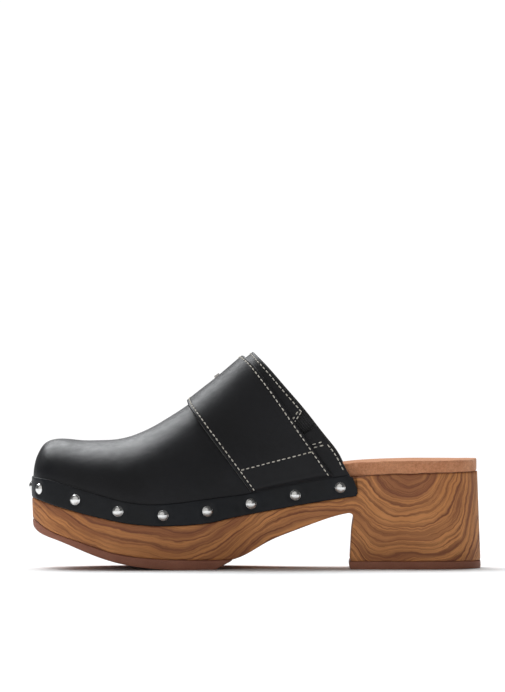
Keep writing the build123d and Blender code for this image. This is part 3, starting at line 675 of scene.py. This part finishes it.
def sheet_grid(rows, cols, plan_off, ridge_off, inset=0.0):
    """Points of one skin of the upper from the toe to the topline, closer together at the toe."""
    phi = np.linspace(0, math.pi, cols)
    end = end_x(phi, plan_off, ridge_off) - inset
    start = INNER[0][0] - plan_off + 0.02
    t = np.linspace(0, 1, rows)[:, None] ** 1.9
    x = start + (end - start)[None, :] * t
    return skin(x, np.broadcast_to(phi, x.shape), plan_off, ridge_off)


def end_frame(g):
    """At the topline: outward normal and the direction out over the edge."""
    n = outward_normals(g[-6:])[-1]
    out = g[-1] - g[-2]
    out /= np.linalg.norm(out, axis=1)[:, None]
    return n, out


def puckered(g, seed):
    """Slight unevenness of stretched leather, fading to nothing at the edges of the sheet."""
    n = outward_normals(g)
    flat = g.reshape(-1, 3)
    h = 0.10 * smooth_noise(flat, 34.0, seed) + 0.035 * smooth_noise(flat, 11.0, seed + 1)
    fade = np.ones(g.shape[:2])
    fade[:14] = np.linspace(0, 1, 14)[:, None]
    return g + n * (h.reshape(g.shape[:2]) * fade)[..., None]


def build_upper():
    rows, cols = 230, 181
    g = puckered(sheet_grid(rows, cols, BULGE, 0.0, 0.25), 3)
    n, out = end_frame(g)
    lip = [(0.10, -0.02), (0.20, -0.10), (0.25, -0.25), (0.27, -0.7), (0.27, -1.25), (0.2, -1.45),
           (0.0, -1.56)]
    layers = [g] + [(g[-1] + out * a + n * b)[None] for a, b in lip]
    inner = sheet_grid(60, cols, BULGE - LEATHER, -LEATHER, 1.2)[::-1]
    layers.append(inner)
    full = np.concatenate(layers, axis=0)
    total = full.shape[0]
    faces = grid_faces(total, cols)
    slots = []
    edge_rows = range(rows + 1, rows + 5)
    for i in range(total - 1):
        slots += [1 if i in edge_rows else 0] * (cols - 1)
    # The bottom edges run down behind the rand, on both sides.
    verts = full.reshape(-1, 3)
    extra = []
    for j, sign in ((0, 0), (cols - 1, 1)):
        start = len(verts) + sum(len(e) for e in extra)
        low = full[:, j].copy()
        low[:, 2] -= 2.2
        extra.append(low)
        for i in range(total - 1):
            a, b = i * cols + j, (i + 1) * cols + j
            c, d = start + i, start + i + 1
            faces.append((a, b, d, c) if sign else (b, a, c, d))
            slots.append(0)
    verts = np.vstack([verts] + extra)
    obj = new_object("upper", verts, faces, [BLACK, EDGE], slots)
    tidy(obj, 0.00001)
    cut_notch(obj)
    for node_name in ("vamp", "toe_puff"):
        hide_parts(node_name)
    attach(obj, "clog")
    return g


def cut_notch(obj):
    """The wedge-shaped opening over the elastic, through the inner side only."""
    ring_a, ring_b = ([(x, y, z) for x, z in NOTCH] for y in (-60.0, -12.0))
    cut_away(obj, ring_a, ring_b)


def build_lining():
    rows, cols = 90, 121
    g = sheet_grid(rows, cols, BULGE - WALL, -WALL, 0.5)
    n, out = end_frame(g)
    lip = [(0.25, 0.04), (0.42, 0.25), (0.5, 0.7), (0.45, 1.1), (0.1, 1.35)]
    layers = [g] + [(g[-1] + out * a + n * b)[None] for a, b in lip]
    full = np.concatenate(layers, axis=0)
    obj = new_object("lining", full.reshape(-1, 3), grid_faces(full.shape[0], cols), [LINING])
    tidy(obj, 0.00001)
    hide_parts("vamp_lining")
    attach(obj, "clog")


# ---------------------------------------------------------------- strap
def strap_section(w):
    """Line of the leather at a distance w from the strap's middle, with its run from the ridge."""
    z0 = float(np.interp(STRAP_X, _RID[:, 0], _RID[:, 1]))
    lo, hi = -40.0, 40.0
    for _ in range(50):
        s = (lo + hi) / 2
        x = STRAP_X + RUN * s + RISE * w
        if z0 - RISE * s + RUN * w > float(ridge_z(x, 0.0)):
            lo = s
        else:
            hi = s
    top = s
    lo, hi = top, 110.0
    for _ in range(50):
        s = (lo + hi) / 2
        x = STRAP_X + RUN * s + RISE * w
        if z0 - RISE * s + RUN * w > float(hermite(RAND_TOP, x)):
            lo = s
        else:
            hi = s
    base = s
    out = []
    for outer_side in (False, True):
        ss = top + (base - top) * np.linspace(0, 1, 220) ** 2
        x = STRAP_X + RUN * ss + RISE * w
        z = z0 - RISE * ss + RUN * w
        y = side_y(x, z, outer_side)
        on = np.array([1.0, 2.0, 3.0])
        low = np.stack([x[-1] + RUN * on, np.repeat(y[-1], 3), z[-1] - RISE * on], axis=1)
        p = np.vstack([np.stack([x, y, z], axis=1), low])
        p[0, 1] = float(arch(x[:1], BULGE, 0.0)[2][0])
        out.append(p)
    line = np.vstack([out[0][::-1], out[1][1:]])
    run = lengths(line)
    run -= run[len(out[0]) - 1]
    return run, line


_RID = spline2d(RIDGE, 1600)[0]
STRAP_W = np.linspace(-24.0, 24.0, 49)
STRAP_LINES = [strap_section(w) for w in STRAP_W]


def on_leather(a, w):
    """Point of the leather under the strap at run a (inner side negative) and distance w across."""
    a, w = np.broadcast_arrays(np.asarray(a, float), np.asarray(w, float))
    k = np.clip((w - STRAP_W[0]) / (STRAP_W[1] - STRAP_W[0]), 0, len(STRAP_W) - 1.001)
    i = k.astype(int)
    out = np.zeros(a.shape + (3,))
    for idx in np.unique(np.concatenate([i.ravel(), i.ravel() + 1])):
        run, line = STRAP_LINES[idx]
        p = follow(a, run, line)
        share = np.where(i == idx, 1 - (k - i), 0) + np.where(i + 1 == idx, k - i, 0)
        out += p * share[..., None]
    return out


def side_frame():
    """Origin and axes of the plane that the buckle end of the strap follows."""
    x = np.array([STRAP_X])
    o = np.array([STRAP_X, float(arch(x, BULGE, 0.0)[2][0]), float(hermite(RIDGE, x)[0])])
    width = np.array([RISE * math.cos(TILT), -math.sin(TILT), RUN * math.cos(TILT)])
    across = np.array([RISE * math.sin(TILT), math.cos(TILT), RUN * math.sin(TILT)])
    up = np.cross(width, across)
    path = []
    for i in range(61):
        s = 73.0 * (i / 60) ** 2
        p = 0.0
        for _ in range(6):
            px = np.array([o[0] + RUN * s + p * across[0]])
            pz = o[2] - RISE * s + p * across[2]
            p = (float(side_y(px, pz, True)[0]) - o[1]) / across[1]
        path.append((p, -s))
    return o, width, across, up, np.array(path)


SO, SW, SA, SU, SPATH = side_frame()
_seg = lengths(SPATH)
_tan = np.gradient(SPATH, _seg, axis=0)
_tan /= np.linalg.norm(_tan, axis=1)[:, None]


def side_at(run, height, w=0.0):
    """3-D point at a run and height in the buckle plane, and a distance across."""
    run, height, w = np.broadcast_arrays(np.asarray(run, float), height, w)
    p = follow(run, _seg, SPATH)
    t = follow(run, _seg, _tan)
    over = run > _seg[-1]
    extra = np.where(over, run - _seg[-1], 0.0)
    p = p + t * extra[..., None]
    q = p + np.stack([-t[..., 1], t[..., 0]], axis=-1) * np.asarray(height)[..., None]
    return SO + q[..., :1] * SA + q[..., 1:] * SU + np.asarray(w)[..., None] * SW


# The recorded hinge and the same point of the buckle plane give the way to the shared frame.
HINGE = frame["record"]["behaviour"]["joints"][0]["pos_m"]
SHIFT = np.array([HINGE[0], HINGE[1], 0.0]) * 1000 - side_at(HINGE_RUN, HINGE_HEIGHT) * (1, 1, 0)


def strap_edges(a):
    """Distance of the front and the back edge from the middle, along the run."""
    front = np.interp(a, [-90, -60, -40, -20, -8, 5], [-20.3, -20.3, -20.4, -20.0, -19.2, -18.8])
    back = np.interp(a, [-95, -60, -40, -20, -8, 5], [21.7, 22.5, 23.1, 22.8, 21.6, 20.3])
    k = np.clip((a - 5.0) / 13.0, 0, 1)
    k = (1 - np.cos(math.pi * k)) / 2
    tip = np.clip((BILLET_END - a) / BILLET_TIP, 0, 1)
    half = BILLET_HALF * np.sqrt(np.clip(1 - (1 - tip) ** 2, 0.002, 1))
    return front * (1 - k) - half * k, back * (1 - k) + half * k


def strap_point(a, w, h):
    """Strap surface: on the leather over the instep, then along the buckle line."""
    a, w, h = np.broadcast_arrays(np.asarray(a, float), np.asarray(w, float), np.asarray(h, float))
    e = 0.4
    p = on_leather(a, w)
    n = np.cross(on_leather(a + e, w) - on_leather(a - e, w), on_leather(a, w + e) - on_leather(a, w - e))
    n /= np.maximum(np.linalg.norm(n, axis=-1, keepdims=True), 1e-9)
    sign = np.sign(np.sum(n * (p - np.array([0.0, 0.0, 60.0])), axis=-1, keepdims=True))
    n = n * np.where(sign == 0, 1, sign)
    first = p + n * h[..., None]
    lift = np.interp(a, [q[0] for q in BILLET_PATH], [q[1] for q in BILLET_PATH])
    second = side_at(np.maximum(a, 0), lift + h, w)
    k = ease(np.clip((a - 9.0) / 11.0, 0, 1))[..., None]
    return first * (1 - k) + second * k


def strap_height(a, w):
    """Thickness along the strap: pressed thin where it runs under the rand."""
    k = np.clip((np.asarray(a) + strap_end(w) - 1.6) / 4.0, 0, 1)
    return STRAP_THICK * (0.16 + 0.84 * ease(k))


def soft_edge(d, r, thick):
    """Drop of the top face near the strap's edge."""
    k = np.clip(d / r, 0, 1)
    return r * (1 - np.sqrt(np.clip(1 - (1 - k) ** 2, 0, 1))) * np.minimum(1.0, thick / (r + 0.3))


def build_strap():
    deep = float(max(-line[0][0] for line in STRAP_LINES))
    a = np.concatenate([np.linspace(-deep, 5.0, 150), np.linspace(5.6, 40.0, 80),
                        np.linspace(40.4, BILLET_END, 90)])
    prof = np.array([0, 0.05, 0.2, 0.45, 0.75, 1.1, 1.35, 1.6, 1.8, 2.0, 2.25, 2.6, 3.2])
    mids = np.linspace(0, 1, 26)[1:-1]
    rows, slot_cols = [], None
    for ai in a:
        f, b = (float(v) for v in strap_edges(np.array(ai)))
        wide = b - f
        edge = np.minimum(prof, wide * 0.42)
        w = np.concatenate([f + edge, f + edge[-1] + (wide - 2 * edge[-1]) * mids, (b - edge)[::-1]])
        d = np.minimum(w - f, b - w)
        h = strap_height(ai, w)
        top = h - soft_edge(d, 0.55, h) - 0.13 * np.exp(-((d - STITCH_IN) / 0.45) ** 2) * (wide > 24)
        loop_w = np.concatenate([w, [b + 0.06, b + 0.04, b - 0.15], [f + wide * 0.5],
                                 [f + 0.15, f - 0.04, f - 0.06]])
        back_h, front_h = h[-1] * 0.5, h[0] * 0.5
        loop_h = np.concatenate([top, [back_h + 0.2, back_h - 0.5, 0.1], [0.05],
                                 [0.1, front_h - 0.5, front_h + 0.2]])
        rows.append(strap_point(np.maximum(ai, -strap_end(loop_w)), loop_w, np.maximum(loop_h, 0.03)))
        slot_cols = len(w)
    g = np.array(rows)
    r, c = g.shape[:2]
    faces = grid_faces(r, c, close_cols=True)
    slots = []
    for _ in range(r - 1):
        slots += [1 if slot_cols - 1 <= j <= slot_cols + 1 or j >= c - 3 else 0 for j in range(c)]
    faces += [tuple(range(c)), tuple(range(r * c - 1, (r - 1) * c - 1, -1))]
    slots += [0, 0]
    obj = new_object("instep_strap_leather", g.reshape(-1, 3), faces, [BLACK, EDGE], slots)
    tidy(obj, 0.000004)
    punch_holes(obj)
    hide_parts("instep_strap")
    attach(obj, "clog")


def strap_end(w):
    """Length of the inner side from the ridge down to just under the rand's top."""
    return np.interp(w, STRAP_W, [-line[0][0] - 0.4 for line in STRAP_LINES])


def punch_holes(obj):
    """The used slot at the prong and two spare holes in the billet."""
    for k, (run, long, half) in enumerate([(42.2, 8.8, 2.2), (59.5, 3.4, 1.7), (65.5, 3.4, 1.7)]):
        ring = []
        for i in range(28):
            t = 2 * math.pi * i / 28
            stretch = (long / 2 - half) * (1 if math.cos(t) > 0 else -1)
            ring.append((run + stretch + half * math.cos(t), half * math.sin(t)))
        top = [side_at(r, 14.0, w) for r, w in ring]
        low = [side_at(r, 2.0 if k == 0 else 2.6, w) for r, w in ring]
        cut_away(obj, top, low)


# ---------------------------------------------------------------- stitches
def stitch_row(line, normals, store, seed, pitch=STITCH_PITCH):
    """Capsules along a line of points; each dips into the leather at both ends."""
    line = np.asarray(line, float)
    s = lengths(line)
    count = int(s[-1] / pitch)
    rng = np.random.default_rng(seed)
    for k in range(count):
        mid = (k + 0.5) * s[-1] / count
        ends = np.linspace(-0.5, 0.5, 9) * STITCH_LONG * (1 + 0.05 * rng.normal())
        p = follow(mid + ends, s, line)
        n = follow(mid, s, normals)
        n /= np.linalg.norm(n)
        t = p[-1] - p[0]
        t /= np.linalg.norm(t)
        side = np.cross(n, t)
        turn = rng.normal() * 0.03
        rings = []
        for q, u in zip(p, np.linspace(-1, 1, 9)):
            r = STITCH_DIA / 2 * math.sqrt(max(1 - abs(u) ** 3.2, 0.03))
            lift = (STITCH_DIA * 0.5 - STITCH_SINK) - 0.30 * abs(u) ** 2.5
            centre = q + n * lift + side * turn * u
            rings.append([centre + (side * math.cos(v) * 1.08 + n * math.sin(v) * 0.92) * r
                          for v in np.linspace(0, 2 * math.pi, 9)[:-1]])
        base = len(store[0])
        store[0].extend(np.array(rings).reshape(-1, 3))
        store[1].extend(grid_faces(9, 8, close_cols=True, base=base))
        store[1].append(tuple(base + i for i in range(7, -1, -1)))
        store[1].append(tuple(base + 64 + i for i in range(8)))


def leather_line(a, w, h):
    """Points on the strap with their normals."""
    p = strap_point(a, w, h)
    n = strap_point(a, w, h + 1.0) - p
    return p, n / np.linalg.norm(n, axis=-1, keepdims=True)


def topline_row(g, inset, phi0, phi1, store, seed):
    """Row of stitches along the topline, on the upper's grid g, at a distance in from the edge."""
    cols = g.shape[1]
    phi = np.linspace(0, math.pi, cols)
    n = outward_normals(g)
    pts, nrm = [], []
    for j in range(cols):
        if not phi0 <= phi[j] <= phi1:
            continue
        col = g[::-1, j]
        run = lengths(col)
        pts.append(follow(inset, run, col))
        i = int(np.searchsorted(run, inset))
        nrm.append(n[::-1][i, j])
    if len(pts) > 2:
        stitch_row(pts, np.array(nrm), store, seed)


def side_row(pts, store, lift, seed, pitch=STITCH_PITCH):
    """Row on the inner side given as X and Z, on the upper or on the strap (lift)."""
    p = np.asarray(pts, float)
    s = lengths(p)
    x, z = follow(np.linspace(0, s[-1], 60), s, p).T

    def at(x, z):
        return np.stack([x, side_y(x, z, False), z], axis=1)

    q = at(x, z)
    n = np.cross(at(x + 0.5, z) - at(x - 0.5, z), at(x, z + 0.5) - at(x, z - 0.5))
    n /= np.linalg.norm(n, axis=1)[:, None]
    n *= np.where(n[:, 1:2] > 0, -1, 1)
    stitch_row(q + n * lift, n, store, seed, pitch)


def build_stitches(g):
    store = ([], [])
    a = np.linspace(-105.0, 66.0, 500)
    f, b = strap_edges(a)
    for sign, edge in ((-1, f), (1, b)):
        w = edge - sign * STITCH_IN
        keep = (a > 3.4 - strap_end(w)) & (np.abs(w) > 1.0) & (a < 64.5)
        p, n = leather_line(a[keep], w[keep], strap_height(a[keep], w[keep]) - 0.05)
        stitch_row(p, n, store, 11 + sign)
    side_row(STRAP_ROW, store, STRAP_THICK - 0.05, 21)
    topline_row(g, 1.45, _phi_low(g, 54.2, False), _phi_low(g, 71.2, False), store, 31)
    topline_row(g, 1.45, _phi_low(g, 87.0, False), _phi_low(g, 54.2, True), store, 32)
    for seed, row in enumerate(ELASTIC_ROWS, 41):
        side_row(row, store, 0.0, seed, TIGHT_PITCH)
    obj = new_object("stitching", np.array(store[0]), store[1], [THREAD])
    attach(obj, "clog")


def _phi_low(g, z, outer_side):
    """Angle at which the topline passes a height, on the inner or the outer side."""
    phi = np.linspace(0, math.pi, g.shape[1])
    row = g[-1, :, 2]
    top = int(np.argmax(row))
    if outer_side:
        return float(np.interp(-z, -row[top:], phi[top:]))
    return float(np.interp(z, row[:top + 1], phi[:top + 1]))


# ---------------------------------------------------------------- rand and studs
def rand_u(x, outer_side):
    """Share of the outline at which the rand's face has this x."""
    q = PLAN + PLAN_N * RAND_PROUD
    share = np.linspace(0, 1, len(PLAN))
    if outer_side:
        part = slice(HEEL_I, len(PLAN))
        return float(np.interp(-x, -q[part, 0], share[part]))
    part = slice(0, HEEL_I + 1)
    return float(np.interp(x, q[part, 0], share[part]))


def stud_shares():
    """Even spacing along both sides, as in the solid model."""
    shares = [0.0]
    n = 6000
    for sign in (1, -1):
        u = np.mod(sign * np.arange(n // 2) / n, 1.0)
        p, _ = plan_at(u, np.full(len(u), RAND_PROUD))
        z = (hermite(RAND_TOP, p[:, 0]) + hermite(RAND_BOTTOM, p[:, 0])) / 2
        q = np.column_stack([p, z])
        run = lengths(q)
        shares += [float(np.interp(STUD_PITCH * k, run, sign * np.arange(n // 2) / n)) for k in range(1, 9)]
    return shares


SHARES = stud_shares()


def stud_centres():
    """Middle of each stud on the rand's face, with the outward normal there."""
    out = []
    for u in SHARES:
        p, n = plan_at(np.array([u]), np.array([RAND_PROUD]))
        z = float(hermite(RAND_TOP, p[:, 0])[0] + hermite(RAND_BOTTOM, p[:, 0])[0]) / 2
        out.append((np.array([p[0, 0], p[0, 1], z]), np.array([n[0, 0], n[0, 1], 0.0])))
    return out


def build_rand():
    """A band with rounded edges round the front of the sole, pressed in a little by each stud."""
    count = 900
    prof = []
    for k in range(9):
        t = math.pi / 2 * k / 8
        prof.append((RAND_PROUD - 0.55 + 0.55 * math.sin(t), -0.55 + 0.55 * math.cos(t), 1))
    for f in np.linspace(0.1, 0.9, 15):
        prof.append((RAND_PROUD + 0.10 * math.sin(math.pi * f), f, 0))
    for k in range(9):
        t = math.pi / 2 * k / 8
        prof.append((RAND_PROUD - 0.55 + 0.55 * math.cos(t), 0.55 - 0.55 * math.sin(t), -1))
    prof.append((RAND_IN - 0.3, 0.0, -1))
    prof.append((RAND_IN - 0.3, 0.0, 1))
    cols = len(prof)
    grid = np.zeros((count + 1, cols, 3))
    t = np.linspace(0, 1, count + 1)
    for j, (off, v, kind) in enumerate(prof):
        frac = {1: 0.0, 0: v, -1: 1.0}[kind]
        rear = np.interp(frac, [0, 0.08, 0.3, 0.65, 0.85, 0.95, 1],
                         [51.8, 53.4, 54.4, 55.9, 56.3, 56.1, 55.4])
        ua, ub = rand_u(rear, False), rand_u(rear, True) - 1.0
        u = ua + (ub - ua) * t
        p, _ = plan_at(u, np.full(count + 1, off))
        zt, zb = hermite(RAND_TOP, p[:, 0]), hermite(RAND_BOTTOM, p[:, 0])
        z = zt + (zb - zt) * v if kind == 0 else (zt + v if kind == 1 else zb + v)
        grid[:, j] = np.column_stack([p, z])
    flat = grid.reshape(-1, 3)
    nrm = np.zeros_like(grid)
    for j in range(cols):
        e = np.gradient(grid[:, j, :2], axis=0)
        e /= np.maximum(np.linalg.norm(e, axis=1)[:, None], 1e-9)
        nrm[:, j, 0], nrm[:, j, 1] = -e[:, 1], e[:, 0]
    if nrm[count // 2, 12, 0] > 0:
        nrm = -nrm
    move = 0.10 * smooth_noise(flat, 30.0, 8) + 0.04 * smooth_noise(flat, 8.0, 9)
    for c, _ in stud_centres():
        d = np.linalg.norm(flat - c, axis=1)
        move -= 0.28 * np.exp(-(d / 3.9) ** 4) * (d < 12)
        move += 0.12 * np.exp(-((d - 5.2) / 1.5) ** 2) * (d < 12)
    faces_on = np.array([p[0] > RAND_IN + 0.2 for p in prof])
    grid += nrm * (move.reshape(grid.shape[:2]) * faces_on)[..., None]
    faces = grid_faces(count + 1, cols, close_cols=True)
    faces += [tuple(range(cols)), tuple(range((count + 1) * cols - 1, count * cols - 1, -1))]
    obj = new_object("rand_band", grid.reshape(-1, 3), faces, [RAND_MAT])
    tidy(obj, 0.000004)
    m = obj.modifiers.new("edge", "BEVEL")
    m.width, m.segments, m.limit_method, m.angle_limit = 0.0004, 3, "ANGLE", math.radians(60)
    apply_modifiers(obj)
    obj.data.polygons.foreach_set("use_smooth", np.ones(len(obj.data.polygons), dtype=bool))
    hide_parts("rand")
    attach(obj, "clog")


def build_studs():
    """Domed heads, as in the solid model; the nails under them are hidden."""
    r, h = STUD_RADIUS, STUD_HIGH
    prof = [(0.0, h)]
    ball = (r * r + h * h) / (2 * h)
    for k in range(1, 15):
        rho = (r - 0.12) * k / 14
        prof.append((rho, h - ball + math.sqrt(ball**2 - rho**2)))
    prof += [(r - 0.02, 0.16), (r, 0.08), (r - 0.02, -0.02), (r - 0.1, -0.12), (r - 0.25, -0.4)]
    verts, faces = [], []
    seg = STUD_SIDES
    for c, n in stud_centres():
        side = np.cross(n, [0, 0, 1.0])
        up = np.array([0, 0, 1.0])
        base = len(verts)
        verts.append(c + n * prof[0][1])
        for rho, z in prof[1:]:
            for k in range(seg):
                t = 2 * math.pi * k / seg
                verts.append(c + n * z + (side * math.cos(t) + up * math.sin(t)) * rho)
        faces += [(base, base + 1 + k, base + 1 + (k + 1) % seg) for k in range(seg)]
        faces += grid_faces(len(prof) - 1, seg, close_cols=True, base=base + 1)
    obj = new_object("rand_stud_heads", np.array(verts), faces, [STUD])
    tidy(obj, 0.000002)
    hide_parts("rand_studs")
    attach(obj, "clog")


# ---------------------------------------------------------------- wood, rubber, footbed
def ring_field(p):
    """Growth bands: nested bowls in the heel and bands along the platform, blended at the shank."""
    x, y, z = p[:, 0], p[:, 1], p[:, 2]
    dx = x - 86.0 - 0.03 * y
    right = np.interp(dx, [0, 13.7, 18.5, 24.9, 28.7, 31.4, 33.5, 35.6, 40.0],
                      [0, 16, 22, 30, 35, 42, 48, 54, 66])
    wide = np.where(dx > 0, right, -dx)
    deep = np.maximum(60.0 - z, 0)
    heel = (wide**2.4 + deep**2.4) ** (1 / 2.4) / 5.8 + 0.010 * y
    sweep = hermite([(-134, 58), (-124, 50), (-110, 38), (-95, 27), (-75, 19), (-55, 17), (-38, 17),
                     (-22, 22), (-5, 32), (15, 42), (35, 48), (60, 50)], x)
    flow = (sweep - z) / 4.6 + 0.55 * np.sin(x / 15.0 + 0.6) + 0.02 * y + 4.0
    k = ease(np.clip((x - 44.0) / 20.0, 0, 1))
    return flow * (1 - k) + heel * k + 0.25 * smooth_noise(p, 26.0, 12)


def build_wood():
    obj = softened("sole_wood", "wooden_sole", WOOD, 0.75, 3)
    p = coords(obj)
    att = obj.data.attributes.new("ring", "FLOAT", "POINT")
    att.data.foreach_set("value", ring_field(p).astype(np.float32))
    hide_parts("wooden_sole")
    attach(obj, "clog")


def build_rubber():
    for name, src in (("front_rubber", "forefoot_outsole"), ("heel_rubber", "heel_top_piece")):
        obj = softened(name, src, RUBBER, 0.6, 3)
        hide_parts(src)
        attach(obj, "clog")


def build_footbed():
    obj = softened("footbed_pad", ("footbed_cover", "footbed_cushion"), SUEDE, 0.9, 4)
    p = coords(obj)
    inner, outer = sides(p[:, 0], -0.7)
    mid, half = (inner + outer) / 2, (outer - inner) / 2
    k = np.clip(1 - ((p[:, 1] - mid) / half) ** 2, 0, 1)
    back = np.clip((123.0 - p[:, 0]) / 26.0, 0, 1)
    lift = np.clip((p[:, 2] - hermite([(-134, 50.5), (-60, 35.0), (18, 45.2), (56, 51.4), (134, 54.9)],
                                      p[:, 0])) / 6.0, 0, 1)
    p[:, 2] += lift * (0.12 * k * back**0.5 - 0.15 + 0.10 * smooth_noise(p, 16.0, 4))
    set_coords(obj, p)
    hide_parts("footbed_cover", "footbed_cushion")
    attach(obj, "clog")


# ---------------------------------------------------------------- buckle end
def build_buckle():
    for name, src, mat, body, voxel, slot_name in (
            ("buckle_ring", "buckle_frame", BUCKLE, "buckle", 0.22, "buckle_metal"),
            ("buckle_tongue", "buckle_prong", BUCKLE, "prong", 0.16, "buckle_metal"),
            ("chape_fold", "buckle_chape", BLACK, "clog", 0.25, "black_leather"),
            ("keeper_loop", "strap_keeper", BLACK, "clog", 0.2, "black_leather")):
        obj = softened(name, src, mat, voxel, 4)
        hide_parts(src)
        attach(obj, body)


def build_elastic():
    """Woven elastic with raised cords that run the way it stretches."""
    obj = softened("gore_web", "elastic_gore", ELASTIC, 0.2, 3)
    p = coords(obj)
    normals = np.empty(len(obj.data.vertices) * 3)
    obj.data.vertices.foreach_get("normal", normals)
    across = p[:, 0] * math.cos(CORD_TURN) + p[:, 2] * math.sin(CORD_TURN)
    cord = 0.5 + 0.5 * np.cos(2 * math.pi * across / CORD_PITCH)
    set_coords(obj, p - normals.reshape(-1, 3) * (CORD_DEEP * (1 - cord))[:, None])
    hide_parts("elastic_gore")
    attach(obj, "clog")


def dress_remaining():
    """The nails are the only CAD node left showing; they get the buckle's metal material."""
    obj = frame["nodes"]["heel_top_piece_nails"]
    for s in obj.material_slots:
        s.material = BUCKLE


camera()
light()
floor()
GRID = build_upper()
build_lining()
build_strap()
build_stitches(GRID)
build_rand()
build_studs()
build_wood()
build_rubber()
build_footbed()
build_buckle()
build_elastic()
dress_remaining()
